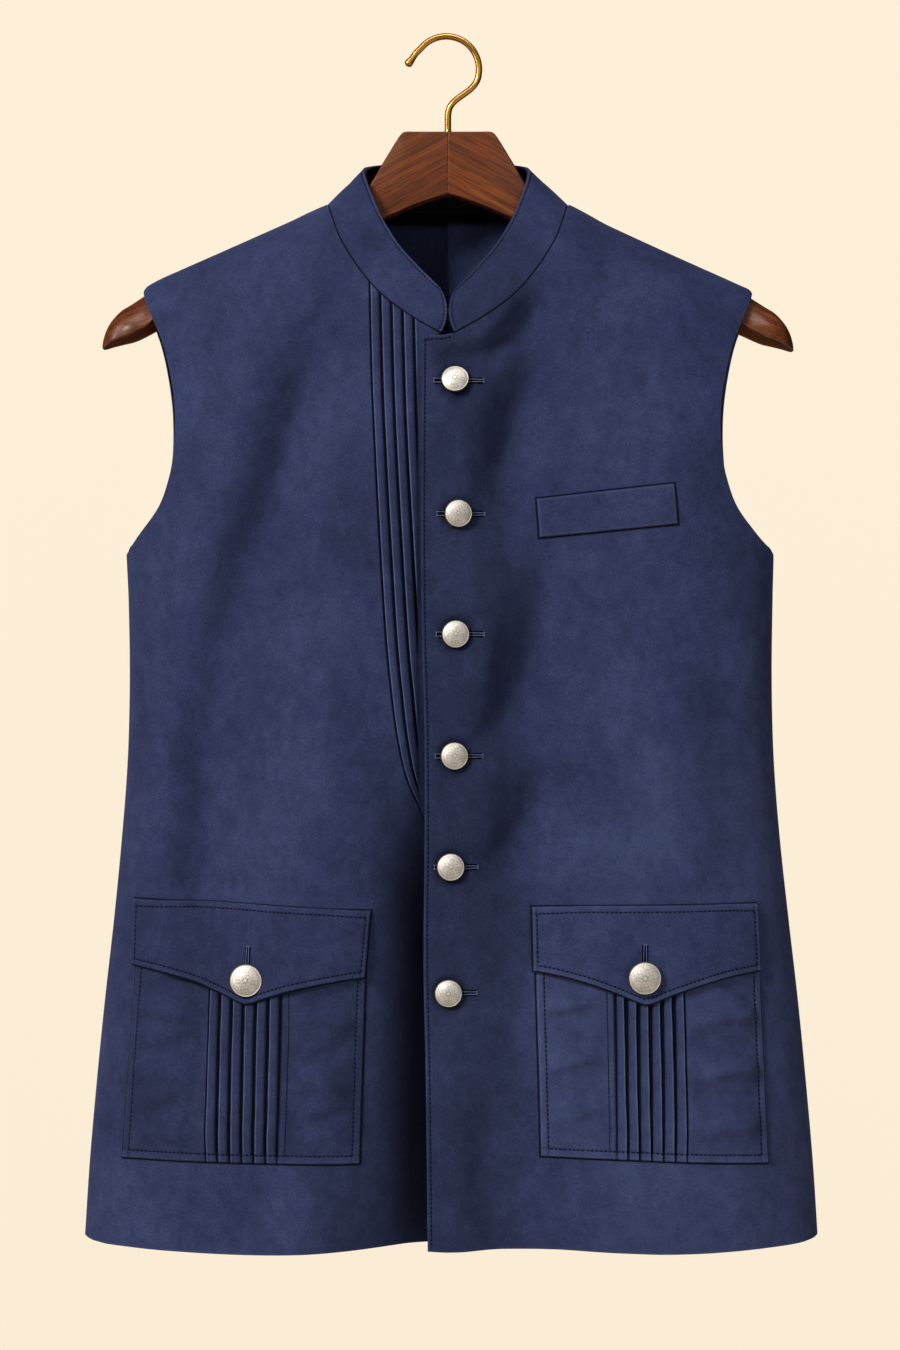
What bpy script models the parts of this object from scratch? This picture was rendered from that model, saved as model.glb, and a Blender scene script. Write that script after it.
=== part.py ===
"""Sleeveless Nehru jacket hanging closed on a contoured wooden hanger with a brass hook.

Run it with blender --background --python part.py, or from Blender's text editor.

The frame: metres, +Z up, the jacket's front faces -Y, and +X is the wearer's left. The origin
is the underside of the hook's crown, where a rail carries it. Sizes below are in millimetres.

Every panel is a wall over one garment surface. Seen from the front, that surface is bounded by
the side seams and the shoulder ridge. Its depth is an oval across the body, rounded over the
shoulders, with soft folds added. "right" and "left" in names are the wearer's.
"""

import math
from collections import namedtuple

import bmesh
import bpy
from mathutils import Vector
from mathutils.bvhtree import BVHTree

MM = 0.001

# Walls and gaps
CLOTH = 2.0          # a panel: the outer cloth with its facing
COLLAR_CLOTH = 2.4   # two layers and an interlining
PATCH_CLOTH = 1.6
FLAP_CLOTH = 2.0
WELT_CLOTH = 1.8
SEAM_GAP = 0.3       # between two pieces that are sewn together
LIE_GAP = 0.6        # between a piece and the panel under it
HANGER_GAP = 0.45    # between the cloth and the wood that carries it
EDGE_CLEAR = 6.0     # below the shared surface, for the wood past the cloth's edge

# Body
OVAL_POWER = 2.4
SHOULDER_ROUND = 130.0   # drop below the ridge at which the body reaches its full depth
SHOULDER_POWER = 2.2
NECK_HALF = 82.0         # from the centre to the neck end of the shoulder seam
SHOULDER_HALF = 206.8    # from the centre to the shoulder tip
UNDERARM_Z = -351.0

# Centre front: the left front laps over the right one
STAND_HALF = 18.0        # how far the right front reaches past the centre, to carry the buttons
LAP_SHIFT = 1.3          # each front moves this far from the shared surface where they overlap
LAP_FULL = 25.0
LAP_NONE = 60.0
LAP_STIFF = 14.0         # the doubled cloth this near the centre takes no folds
LAP_FREE = 38.0
UNDERLAP_TOP = -208.5    # top of the right front where it runs under the left one

# Tucks
TUCK_PITCH = 7.5
TUCK_HEIGHT = 1.0
INSERT_TUCKS = 6
POCKET_TUCKS = 6

# Buttons and hook
FRONT_BUTTON = 18.0
POCKET_BUTTON = 21.6
BUTTON_SIDES = 16
WIRE = 4.4
STEM_BORE = 5.0
STEM_DEPTH = 25.0

Side = namedtuple("Side", "z right left")
BODY = [  # half width of the body on each side; above the underarm it's the oval's, not the cloth's
    Side(-816.0, 246.9, 251.3),
    Side(-762.0, 243.4, 247.8),
    Side(-708.0, 238.7, 243.1),
    Side(-653.0, 233.2, 237.7),
    Side(-599.0, 227.1, 231.5),
    Side(-544.0, 221.7, 225.5),
    Side(-490.0, 217.6, 221.3),
    Side(-436.0, 216.2, 219.9),
    Side(-381.0, 217.0, 220.5),
    Side(-351.0, 218.4, 221.2),
    Side(-280.0, 221.0, 221.5),
    Side(-170.0, 226.0, 226.0),
    Side(-80.0, 228.0, 228.0),
]

Depth = namedtuple("Depth", "z front back")
DEPTH = [  # from the side seams' plane to the middle of the front and of the back
    Depth(-816.0, 77.0, 72.0),
    Depth(-600.0, 75.0, 71.0),
    Depth(-350.0, 72.0, 69.0),
    Depth(-210.0, 67.0, 63.0),
    Depth(-80.0, 62.0, 60.0),
]

Ridge = namedtuple("Ridge", "x right left")
RIDGE = [  # the height of the shoulder line, rounded off where it would run on across the neck
    Ridge(0.0, -84.0, -84.0),
    Ridge(40.0, -97.0, -97.0),
    Ridge(82.0, -112.8, -112.8),
    Ridge(94.0, -118.0, -119.4),
    Ridge(120.4, -130.2, -132.8),
    Ridge(151.6, -144.0, -146.6),
    Ridge(182.2, -157.4, -160.2),
    Ridge(197.0, -164.0, -166.8),
    Ridge(208.0, -170.6, -172.0),
    Ridge(230.0, -187.0, -188.0),
]

Armhole = namedtuple("Armhole", "z front back")
ARMHOLE = [  # half width of the cloth above the underarm
    Armhole(-351.0, 219.3, 219.3),
    Armhole(-340.0, 209.8, 211.6),
    Armhole(-320.0, 194.2, 198.2),
    Armhole(-300.0, 186.6, 192.2),
    Armhole(-285.0, 183.8, 190.6),
    Armhole(-269.0, 182.6, 189.8),
    Armhole(-249.0, 183.2, 190.3),
    Armhole(-228.0, 186.8, 192.8),
    Armhole(-208.0, 192.3, 196.8),
    Armhole(-190.0, 200.0, 202.5),
    Armhole(-170.4, 206.8, 206.8),
]

Neck = namedtuple("Neck", "x z")
FRONT_NECK = [
    Neck(0.0, -206.8),
    Neck(5.0, -205.2),
    Neck(31.8, -189.0),
    Neck(51.8, -171.0),
    Neck(71.8, -141.0),
    Neck(82.0, -112.8),
]
BACK_NECK_Z = -112.8

Hem = namedtuple("Hem", "x z")
FRONT_HEM = [
    Hem(-247.0, -811.2),
    Hem(-236.0, -813.1),
    Hem(-215.0, -814.1),
    Hem(-190.0, -815.2),
    Hem(-120.0, -816.4),
    Hem(-30.0, -812.0),
    Hem(0.0, -813.5),
    Hem(50.0, -812.0),
    Hem(140.0, -816.4),
    Hem(195.0, -815.6),
    Hem(222.0, -814.4),
    Hem(240.0, -813.1),
    Hem(251.0, -811.2),
]
BACK_HEM = [
    Hem(-247.0, -811.2),
    Hem(-90.0, -812.0),
    Hem(60.0, -814.5),
    Hem(251.0, -811.2),
]

Edge = namedtuple("Edge", "z x")
LEFT_FRONT_EDGE = [
    Edge(-816.0, -13.4),
    Edge(-700.0, -14.7),
    Edge(-620.0, -16.1),
    Edge(-540.0, -15.5),
    Edge(-470.0, -15.6),
    Edge(-400.0, -17.3),
    Edge(-320.0, -17.5),
    Edge(-205.0, -16.5),
]
INSERT_SEAM = [  # between the right front and its tucked insert, down to the underlap's edge
    Edge(-596.0, 14.0),
    Edge(-522.0, -18.5),
    Edge(-500.0, -27.8),
    Edge(-475.0, -33.5),
    Edge(-449.0, -37.2),
    Edge(-409.0, -41.3),
    Edge(-330.0, -45.0),
    Edge(-250.0, -50.2),
    Edge(-168.0, -56.2),
]
INSERT_END_Z = -596.0

Fold = namedtuple("Fold", "x_top z_top x_low z_low half_width rise")
FRONT_FOLDS = [
    # wearer's left: drag lines from the collar's front to the buttons
    Fold(46, -200, 32, -262, 15, -4.0),
    Fold(32, -262, 18, -296, 14, -2.6),
    Fold(48, -336, 46, -428, 17, -3.6),
    Fold(46, -428, 14, -470, 15, -3.0),
    Fold(56, -514, 28, -550, 15, -2.4),
    Fold(88, -196, 104, -300, 24, 2.6),
    Fold(134, -214, 150, -292, 22, -1.8),
    Fold(30, -360, 22, -420, 12, 1.6),
    Fold(120, -380, 104, -520, 30, 2.2),
    Fold(178, -380, 186, -540, 22, -2.4),
    Fold(90, -660, 96, -812, 24, 1.8),
    Fold(36, -690, 30, -812, 18, -2.4),
    # wearer's right: a long trough from the shoulder to the side, with ridges beside it
    Fold(-96, -176, -92, -226, 16, -2.4),
    Fold(-92, -226, -132, -296, 20, -3.4),
    Fold(-132, -296, -166, -372, 22, -3.2),
    Fold(-172, -372, -178, -536, 20, -2.8),
    Fold(-80, -236, -82, -398, 24, 3.0),
    Fold(-166, -238, -178, -318, 18, 1.6),
    Fold(-122, -380, -122, -550, 28, 2.6),
    Fold(-40, -436, -34, -812, 20, -3.2),
    Fold(-100, -760, -96, -812, 22, 1.4),
]
BACK_FOLDS = [
    Fold(60, -150, 96, -290, 22, -2.8),
    Fold(-60, -150, -100, -300, 22, -3.0),
    Fold(24, -200, 20, -360, 22, 2.0),
    Fold(-26, -210, -18, -380, 22, 1.6),
    Fold(130, -260, 112, -420, 26, 2.2),
    Fold(-134, -250, -118, -430, 26, 2.4),
    Fold(-176, -380, -184, -560, 22, -2.6),
    Fold(172, -372, 186, -570, 22, -2.4),
    Fold(80, -470, 90, -812, 30, -2.6),
    Fold(-70, -500, -84, -812, 30, -2.8),
    Fold(140, -600, 150, -812, 26, 2.0),
    Fold(-136, -580, -148, -812, 26, 2.2),
]

CollarTop = namedtuple("CollarTop", "share x y z")
COLLAR_TOP = [  # the upper edge, at shares of the seam from the centre front to the centre back
    CollarTop(0.00, 1.2, -53.0, -174.5),
    CollarTop(0.15, 18.7, -47.5, -160.0),
    CollarTop(0.27, 32.2, -40.5, -144.0),
    CollarTop(0.40, 43.7, -32.0, -124.6),
    CollarTop(0.52, 52.0, -19.5, -104.0),
    CollarTop(0.62, 56.3, -1.0, -89.5),
    CollarTop(0.72, 51.5, 17.0, -84.0),
    CollarTop(0.86, 29.0, 31.0, -80.5),
    CollarTop(1.00, 0.0, 37.0, -78.5),
]
COLLAR_LEAN = -1.6       # the upper edge sits this far towards the wearer's right
COLLAR_ROWS = [0.0, 0.25, 0.5, 0.75, 1.0]
COLLAR_END = 4.5         # from the centre to the lower corner of each end
COLLAR_BULGE = 3.9       # how far a rounded end runs past its corners

Corners = namedtuple("Corners", "top_x1 top_z1 top_x2 top_z2 low_x1 low_z1 low_x2 low_z2")
PATCHES = {  # from the edge near the centre (1) to the edge near the side (2)
    "right": Corners(-54.0, -604.0, -205.8, -600.0, -59.0, -755.4, -216.8, -754.2),
    "left": Corners(58.0, -602.0, 205.8, -600.0, 61.9, -750.3, 212.6, -757.4),
}
FLAPS = {
    "right": Corners(-51.4, -590.5, -209.2, -584.2, -55.2, -632.0, -210.4, -625.2),
    "left": Corners(55.9, -587.5, 205.6, -586.4, 56.8, -627.6, 207.4, -629.1),
}
FlapPoint = namedtuple("FlapPoint", "x z share")
FLAP_POINTS = {
    "right": FlapPoint(-133.9, -650.8, 0.505),
    "left": FlapPoint(131.3, -650.7, 0.485),
}
FLAP_CURVE = 3.2         # how far the flap's lower edges curve up between their ends
FLAP_LIFT = [(0.0, 0.0), (0.12, 2.2), (0.26, 3.1), (0.5, 3.2), (0.78, 3.2), (1.0, 3.2)]
WELT = Corners(59.4, -315.3, 150.0, -305.4, 60.9, -340.3, 152.2, -331.3)

TuckRun = namedtuple("TuckRun", "top low")
TUCK_RUNS = {  # where a patch's first tuck starts and its last one ends, as shares of its width
    "right": TuckRun((0.335, 0.655), (0.335, 0.640)),
    "left": TuckRun((0.375, 0.650), (0.365, 0.640)),
}

FRONT_BUTTONS = [(4.8, -237.3), (6.5, -325.6), (5.0, -405.3), (3.9, -485.9), (1.7, -559.2), (0.4, -642.3)]
POCKET_BUTTONS = {"right": (-131.4, -635.0), "left": (128.6, -632.7)}
BUTTON_PROFILE = [  # radius and height as shares of the button's radius, from the back to the crown
    (0.24, 0.00),
    (0.24, 0.16),
    (0.88, 0.20),
    (1.00, 0.30),
    (0.96, 0.42),
    (0.66, 0.54),
    (0.30, 0.60),
]

# Hanger: half of it, from the mitred joint at the centre to the tip
Arm = namedtuple("Arm", "x top half_depth round low scoop")
ARM_NECK = [  # the bare stretch between the joint and the shoulder seam
    Arm(0.15, -63.4, 8.5, 2.0, -106.5, 0.8),
    Arm(16.0, -63.4, 8.5, 2.0, -108.6, 0.8),
    Arm(30.0, -63.6, 8.5, 2.0, -113.9, 0.8),
    Arm(33.6, -67.0, 8.5, 2.2, -116.0, 0.8),
    Arm(43.5, -83.0, 8.5, 3.2, -121.6, 0.8),
    Arm(53.5, -99.0, 8.5, 5.0, -127.2, 0.8),
    Arm(66.0, -109.2, 9.0, 6.5, -134.0, 0.8),
    Arm(76.0, -114.6, 9.6, 7.0, -138.6, 0.8),
]
ArmUnder = namedtuple("ArmUnder", "x half_depth height scoop")
ARM_SHOULDER = [  # the stretch that carries the cloth, so its top follows the shoulder
    ArmUnder(84.0, 10.5, 27.0, 1.0),
    ArmUnder(100.0, 12.5, 27.0, 2.0),
    ArmUnder(120.0, 15.0, 27.0, 5.0),
    ArmUnder(141.0, 17.5, 27.0, 8.0),
    ArmUnder(162.0, 20.0, 27.0, 11.0),
    ArmUnder(180.0, 21.5, 27.0, 13.0),
    ArmUnder(194.0, 21.5, 27.0, 13.5),
    ArmUnder(206.0, 18.5, 28.0, 11.5),
]
ARM_TIP = [
    Arm(214.0, -180.0, 20.0, 17.0, -206.0, 11.0),
    Arm(221.5, -185.0, 19.0, 13.0, -209.0, 11.0),
    Arm(228.5, -192.0, 15.0, 10.0, -211.0, 8.0),
    Arm(233.0, -199.5, 9.5, 6.5, -212.3, 4.5),
    Arm(234.6, -205.5, 4.0, 3.0, -211.5, 1.5),
]
ARM_LIP = 5.5            # thickness of each lip beside the scooped underside

HookPoint = namedtuple("HookPoint", "x z thickness")
HOOK_RADIUS = 23.0       # the crown's, to the wire's middle
HOOK_START = [
    HookPoint(0.0, -87.0, 1.0),
    HookPoint(0.0, -75.0, 1.0),
    HookPoint(0.0, -62.0, 1.0),
    HookPoint(0.0, -52.5, 1.0),
    HookPoint(0.6, -48.4, 1.0),
    HookPoint(3.0, -44.6, 1.0),
    HookPoint(8.4, -39.0, 1.0),
    HookPoint(13.3, -33.7, 1.0),
    HookPoint(18.6, -28.7, 1.0),
]
HOOK_END = [
    HookPoint(-21.4, -9.6, 1.0),
    HookPoint(-23.4, -13.2, 1.0),
    HookPoint(-25.4, -15.6, 1.08),
    HookPoint(-27.0, -17.0, 1.16),
    HookPoint(-28.2, -18.0, 0.8),
]

SHOULDER_COLUMNS = [100.0, 120.0, 141.0, 162.0, 180.0, 194.0, 202.5, SHOULDER_HALF]
NECK_TO_SHOULDER = [71.0, 76.0, 79.3, 81.3, NECK_HALF]
ROW_SHARES = [0.0, 0.08, 0.16, 0.25, 0.336, 0.42, 0.50, 0.58, 0.65, 0.7175, 0.76, 0.80, 0.845]
ROW_SHARES += [0.885, 0.918, 0.946, 0.968, 0.983, 0.9925, 0.9972, 0.9993, 1.0]
PANEL_ROWS_TO_INSERT = 4   # the row at which the insert's lower end meets the right front


def along(rows, key, name, value):
    """A smooth curve through a table's rows, read at value of the column key."""
    if value <= getattr(rows[0], key):
        return getattr(rows[0], name)
    if value >= getattr(rows[-1], key):
        return getattr(rows[-1], name)
    i = next(n for n in range(1, len(rows)) if value <= getattr(rows[n], key))

    def slope(n):
        low, high = rows[max(n - 1, 0)], rows[min(n + 1, len(rows) - 1)]
        rise = getattr(high, name) - getattr(low, name)
        return rise / (getattr(high, key) - getattr(low, key))

    first, second = rows[i - 1], rows[i]
    span = getattr(second, key) - getattr(first, key)
    t = (value - getattr(first, key)) / span
    return (
        (2 * t**3 - 3 * t**2 + 1) * getattr(first, name)
        + (t**3 - 2 * t**2 + t) * span * slope(i - 1)
        + (3 * t**2 - 2 * t**3) * getattr(second, name)
        + (t**3 - t**2) * span * slope(i)
    )


def ease(t):
    t = min(max(t, 0.0), 1.0)
    return t * t * (3 - 2 * t)


# The garment surface

def ridge_z(x):
    return along(RIDGE, "x", "left" if x > 0 else "right", abs(x))


def fold_rise(folds, x, z):
    """The sum of the soft ridges (+) and troughs (-) near a point."""
    total = 0.0
    for fold in folds:
        run = Vector((fold.x_low - fold.x_top, fold.z_low - fold.z_top))
        here = Vector((x - fold.x_top, z - fold.z_top))
        share = here.dot(run) / run.length_squared
        aside = abs(here.x * run.y - here.y * run.x) / run.length
        ends = ease((share + 0.18) / 0.4) * ease((1.18 - share) / 0.4)
        total += fold.rise * ends * math.exp(-((aside / fold.half_width) ** 2))
    return total


def body_depth(x, z, face):
    """How far the outer surface stands from the plane of the side seams."""
    half = along(BODY, "z", "left" if x > 0 else "right", z)
    across = max(0.0, 1 - min(1.0, abs(x) / half) ** OVAL_POWER) ** (1 / OVAL_POWER)
    drop = min(max((ridge_z(x) - z) / SHOULDER_ROUND, 0.0), 1.0)
    over = (1 - (1 - drop) ** SHOULDER_POWER) ** (1 / SHOULDER_POWER)
    plain = along(DEPTH, "z", face, z) * across * over
    folded = fold_rise(FRONT_FOLDS if face == "front" else BACK_FOLDS, x, z)
    if face == "front":
        folded *= ease((abs(x) - LAP_STIFF) / (LAP_FREE - LAP_STIFF))
    return plain + folded * ease(across * 1.4) * ease((over - 0.3) / 0.6)


def surface_point(x, z, face, shift=0.0):
    """shift moves the point out of the body (+) or into it (-)."""
    depth = body_depth(x, z, face)
    depth += shift * ease(depth / 20.0)
    away = max(depth, SEAM_GAP / 2)
    return Vector((x, -away if face == "front" else away, z))


def lap_shift(x, side):
    """The left front lies on the right one near the centre front."""
    reach = x if side == "left" else -x
    share = ease((LAP_NONE - reach) / (LAP_NONE - LAP_FULL))
    return LAP_SHIFT * share if side == "left" else -LAP_SHIFT * share


def outer_half(z, face, side):
    """The cloth's half width: the side seam, or the armhole's edge above the underarm."""
    if z <= UNDERARM_Z:
        return along(BODY, "z", side, z)
    return along(ARMHOLE, "z", face, z)


def front_neck_z(x):
    return along(FRONT_NECK, "x", "z", abs(x))


# Panels

class Panel:
    """A wall's outer points in rows from the hem up, and its outward normals."""

    def __init__(self, points, facing):
        self.points = points
        self.normals = grid_normals(points, facing)
        self.stretch = [[1.0] * len(row) for row in points]

    def mitre(self, row, column, normal):
        """Turns a point's wall to an edge that another piece meets."""
        lean = max(0.75, normal.dot(self.normals[row][column]))
        self.normals[row][column] = normal
        self.stretch[row][column] = 1.0 / lean

    def inner(self, thickness):
        return [
            [p - n * thickness * s for p, n, s in zip(*lines)]
            for lines in zip(self.points, self.normals, self.stretch)
        ]


def grid_normals(points, facing):
    last_row, last_column = len(points) - 1, len(points[0]) - 1
    normals = []
    for r in range(last_row + 1):
        line = []
        for c in range(last_column + 1):
            along_row = points[r][min(c + 1, last_column)] - points[r][max(c - 1, 0)]
            up = points[min(r + 1, last_row)][c] - points[max(r - 1, 0)][c]
            line.append(facing * along_row.cross(up).normalized())
        normals.append(line)
    return normals


def shoulder_normal(x):
    step = 2.0
    run = Vector((2 * step, 0.0, ridge_z(x + step) - ridge_z(x - step))).normalized()
    return Vector((-run.z, 0.0, run.x))


def panel_points(tops, centre_edge, face, side, shift_side=None):
    """Rows of points between the centre edge and the outer edge, under the given top points."""
    sign = 1 if side == "left" else -1
    hem = FRONT_HEM if face == "front" else BACK_HEM
    grid = [[] for _ in ROW_SHARES]
    for x_top, z_top in tops:
        start = centre_edge(z_top)
        share = (x_top - start) / (sign * outer_half(z_top, face, side) - start)
        low = hem[0].z
        x_hem = centre_edge(low) + share * (sign * outer_half(low, face, side) - centre_edge(low))
        z_hem = along(hem, "x", "z", x_hem)
        for line, row in zip(grid, ROW_SHARES):
            z = z_hem + row * (z_top - z_hem)
            x = centre_edge(z) + share * (sign * outer_half(z, face, side) - centre_edge(z))
            shift = lap_shift(x, shift_side) if shift_side else 0.0
            line.append(surface_point(x, z, face, shift))
    return grid


def set_seam_walls(panel, sign):
    """Turns the wall square to the side seam and to the shoulder seam, so that mates lie face to face."""
    for r, line in enumerate(panel.points):
        if line[-1].z <= UNDERARM_Z + 0.5:
            panel.mitre(r, len(line) - 1, Vector((sign, 0.0, 0.0)))
    for c, point in enumerate(panel.points[-1]):
        if abs(point.x) >= NECK_HALF - 0.01:
            panel.mitre(len(panel.points) - 1, c, shoulder_normal(point.x))


def shoulder_tops(sign):
    return [(sign * x, ridge_z(sign * x)) for x in SHOULDER_COLUMNS]


def front_left_panel():
    lap = [(-16.5, -208.6), (-12.5, -207.4), (-4.0, -207.0)]
    neck = [(x, front_neck_z(x)) for x in (COLLAR_END, 11.0, 18.0, 26.0, 36.0, 48.0, 60.0, *NECK_TO_SHOULDER)]
    tops = lap + neck + shoulder_tops(1)
    points = panel_points(tops, lambda z: along(LEFT_FRONT_EDGE, "z", "x", z), "front", "left", "left")
    panel = Panel(points, 1)
    set_seam_walls(panel, 1)
    return panel


def insert_seam_x(z):
    if z < INSERT_END_Z:
        return STAND_HALF
    return along(INSERT_SEAM, "z", "x", z)


def front_right_panel():
    first = INSERT_SEAM[-1].x - SEAM_GAP / 2
    neck = [(-x, front_neck_z(x)) for x in (-first, 64.0, *NECK_TO_SHOULDER)]
    tops = neck + shoulder_tops(-1)
    points = panel_points(tops, lambda z: insert_seam_x(z) - SEAM_GAP / 2, "front", "right", "right")
    panel = Panel(points, -1)
    set_seam_walls(panel, -1)
    return panel


def back_panel(side):
    sign = 1 if side == "left" else -1
    neck_x = (SEAM_GAP / 2, 14.0, 28.0, 42.0, 56.0, 66.0, *NECK_TO_SHOULDER)
    neck = [(sign * x, BACK_NECK_Z if x < NECK_HALF else ridge_z(sign * x)) for x in neck_x]
    tops = neck + shoulder_tops(sign)
    points = panel_points(tops, lambda z: sign * SEAM_GAP / 2, "back", side)
    panel = Panel(points, -sign)
    for r, line in enumerate(panel.normals):
        panel.mitre(r, 0, Vector((0.0, line[0].y, line[0].z)).normalized())
    set_seam_walls(panel, sign)
    return panel


def tuck_columns(count):
    """(share of the tucked run, height share) for knife tucks whose folds lie towards the start."""
    columns = []
    for k in range(count):
        columns += [((k + 0.02) / count, 0.0), ((k + 0.10) / count, 1.0), ((k + 0.70) / count, 0.62)]
    return columns + [(1.0, 0.0)]


def insert_panel(right):
    """The tucked insert and the button stand in one: its rows start at the right front's own edge."""
    rows = [line[0] for line in right.points[PANEL_ROWS_TO_INSERT:]]
    low, high = rows[0].z, rows[-1].z
    tuck_marks = tuck_columns(INSERT_TUCKS)
    points, heights = [], []
    for edge in rows:
        row_share = (edge.z - low) / (high - low)
        start = edge.x + SEAM_GAP
        room = STAND_HALF - start
        run = min(INSERT_TUCKS * TUCK_PITCH, 0.8 * room)
        marks = [(start, 0.0)]
        marks += [(start + run * share, height) for share, height in tuck_marks]
        rest = marks[-1][0]
        marks += [(rest + (STAND_HALF - rest) * share, 0.0) for share in (0.25, 0.6, 1.0)]
        line, line_heights = [], []
        for x, height in marks:
            x_top = INSERT_SEAM[-1].x + (x - start) * (STAND_HALF - INSERT_SEAM[-1].x) / room
            z_top = front_neck_z(x_top) if x_top < -COLLAR_END + 0.5 else UNDERLAP_TOP
            z = low + row_share * (z_top - low)
            uncovered = ease((-18.0 - x) / 2.0)
            line.append(surface_point(x, z, "front", lap_shift(x, "right")))
            line_heights.append(TUCK_HEIGHT * height * uncovered)
        points.append(line)
        heights.append(line_heights)
    panel = Panel(points, 1)
    for r in range(len(points)):
        panel.mitre(r, 0, right.normals[r + PANEL_ROWS_TO_INSERT][0])
    return panel, heights


# Collar

def collar_seam(panels):
    """The seam's (panel, column) points, from the collar's right end round the back to its left one."""
    insert, right, back_right, back_left, left = panels
    seam = []
    top = insert.points[-1]
    seam += [(insert, c) for c in reversed(range(len(top))) if top[c].x < -COLLAR_END + 0.5]
    seam += [(right, c) for c in range(1, len(right.points[-1])) if right.points[-1][c].x >= -NECK_HALF]
    back = [(back_right, c) for c, p in enumerate(back_right.points[-1]) if p.x > -NECK_HALF + 0.1]
    seam += list(reversed(back[1:]))
    seam += [(back_left, c) for c, p in enumerate(back_left.points[-1]) if 1 < p.x < NECK_HALF - 0.1]
    front = [(left, c) for c, p in enumerate(left.points[-1]) if COLLAR_END - 0.1 < p.x < NECK_HALF + 0.1]
    return seam + list(reversed(front))


def collar_panel(seam):
    lower = [panel.points[-1][column].copy() for panel, column in seam]
    for point in lower:
        if abs(abs(point.x) - NECK_HALF) < 0.1:
            point.y = 0.0
    lengths = [0.0]
    for a, b in zip(lower, lower[1:]):
        lengths.append(lengths[-1] + (b - a).length)
    middle = next(i for i, p in enumerate(lower) if p.x > 0) - 0.5
    back = (lengths[int(middle)] + lengths[int(middle) + 1]) / 2
    uppers = []
    for i, length in enumerate(lengths):
        right_half = i < middle
        share = length / back if right_half else (lengths[-1] - length) / (lengths[-1] - back)
        x = along(COLLAR_TOP, "share", "x", share)
        y = along(COLLAR_TOP, "share", "y", share)
        z = along(COLLAR_TOP, "share", "z", share)
        uppers.append(Vector(((-x if right_half else x) + COLLAR_LEAN * share, y, z)))
    points = [[low.lerp(high, v) for low, high in zip(lower, uppers)] for v in COLLAR_ROWS]
    for v, line in zip(COLLAR_ROWS, points):
        bulge = COLLAR_BULGE * (1 - (2 * v - 1) ** 2)
        corner = COLLAR_END - bulge
        line[0].x = -corner
        line[-1].x = corner
    return Panel(points, -1)


def join_collar(collar, seam):
    """Mitres the collar's lower edge and the panels' neck edges to the same faces, one seam apart."""
    for i, (panel, column) in enumerate(seam):
        point = panel.points[-1][column]
        mitre = (panel.normals[-1][column] + collar.normals[0][i]).normalized()
        before = collar.points[0][max(i - 1, 0)]
        after = collar.points[0][min(i + 1, len(seam) - 1)]
        rise = (after - before).cross(mitre).normalized()
        if rise.z < 0:
            rise.negate()
        if abs(abs(point.x) - NECK_HALF) > 0.1:
            panel.mitre(len(panel.points) - 1, column, mitre)
        collar.mitre(0, i, mitre)
        collar.points[0][i] += rise * (SEAM_GAP + 0.1)
    insert, right = seam[0][0], next(panel for panel, _ in seam if panel is not seam[0][0])
    right.normals[-1][0], right.stretch[-1][0] = insert.normals[-1][0], insert.stretch[-1][0]


# Pieces that lie on a panel

def grid_tree(grid):
    """A tree of the faces between a grid's points, for reading where a line meets them."""
    width = len(grid[0])
    faces = [
        (r * width + c, r * width + c + 1, (r + 1) * width + c + 1, (r + 1) * width + c)
        for r in range(len(grid) - 1)
        for c in range(width - 1)
    ]
    return BVHTree.FromPolygons([p for line in grid for p in line], faces)


class Ground:
    """The outer face of a finished panel, read from the front."""

    def __init__(self, panel):
        self.tree = grid_tree(panel.points)

    def hit(self, x, z):
        place, normal, _, _ = self.tree.ray_cast(Vector((x, -400.0, z)), Vector((0.0, 1.0, 0.0)))
        return place, -normal if normal.y > 0 else normal

    def lifted(self, x, z, lift):
        place, normal = self.hit(x, z)
        for dx, dz in ((5.0, 0.0), (-5.0, 0.0), (0.0, 5.0), (0.0, -5.0)):
            normal = normal + self.hit(x + dx, z + dz)[1]
        return place + normal.normalized() * lift


def corner_mix(corners, across, down):
    top = Vector((corners.top_x1, corners.top_z1)).lerp(Vector((corners.top_x2, corners.top_z2)), across)
    low = Vector((corners.low_x1, corners.low_z1)).lerp(Vector((corners.low_x2, corners.low_z2)), across)
    return top.lerp(low, down)


def laid_piece(ground, places, lifts, raises, thickness):
    """Outer and inner points over a ground, for rows of (x, z) places with their lifts and raised form."""
    outer, inner = [], []
    for line, lift_line, raise_line in zip(places, lifts, raises):
        over = [a + thickness + b for a, b in zip(lift_line, raise_line)]
        outer.append([ground.lifted(p.x, p.y, lift) for p, lift in zip(line, over)])
        inner.append([ground.lifted(p.x, p.y, lift) for p, lift in zip(line, lift_line)])
    return outer, inner


def pocket_patch(ground, side):
    """A patch with a run of tucks; the tucks' folds lie towards the side seam."""
    corners, run = PATCHES[side], TUCK_RUNS[side]
    rows = [0.0, 0.25, 0.5, 0.75, 1.0]
    near_side = [0.0, 0.09, 0.18, 0.27]
    far_side = [0.12, 0.35, 0.55, 0.72, 0.84, 0.93, 1.0]
    places, lifts, raises = [], [], []
    for down in rows:
        start = run.top[0] + (run.low[0] - run.top[0]) * down
        end = run.top[1] + (run.low[1] - run.top[1]) * down
        marks = [(share, 0.0) for share in near_side]
        for share, height in reversed(tuck_columns(POCKET_TUCKS)):
            marks.append((start + (end - start) * (1 - share), height))
        marks += [(end + (1.0 - end) * share, 0.0) for share in far_side]
        places.append([corner_mix(corners, share, down) for share, _ in marks])
        lifts.append([LIE_GAP] * len(marks))
        raises.append([TUCK_HEIGHT * height for _, height in marks])
    return laid_piece(ground, places, lifts, raises, PATCH_CLOTH)


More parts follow.
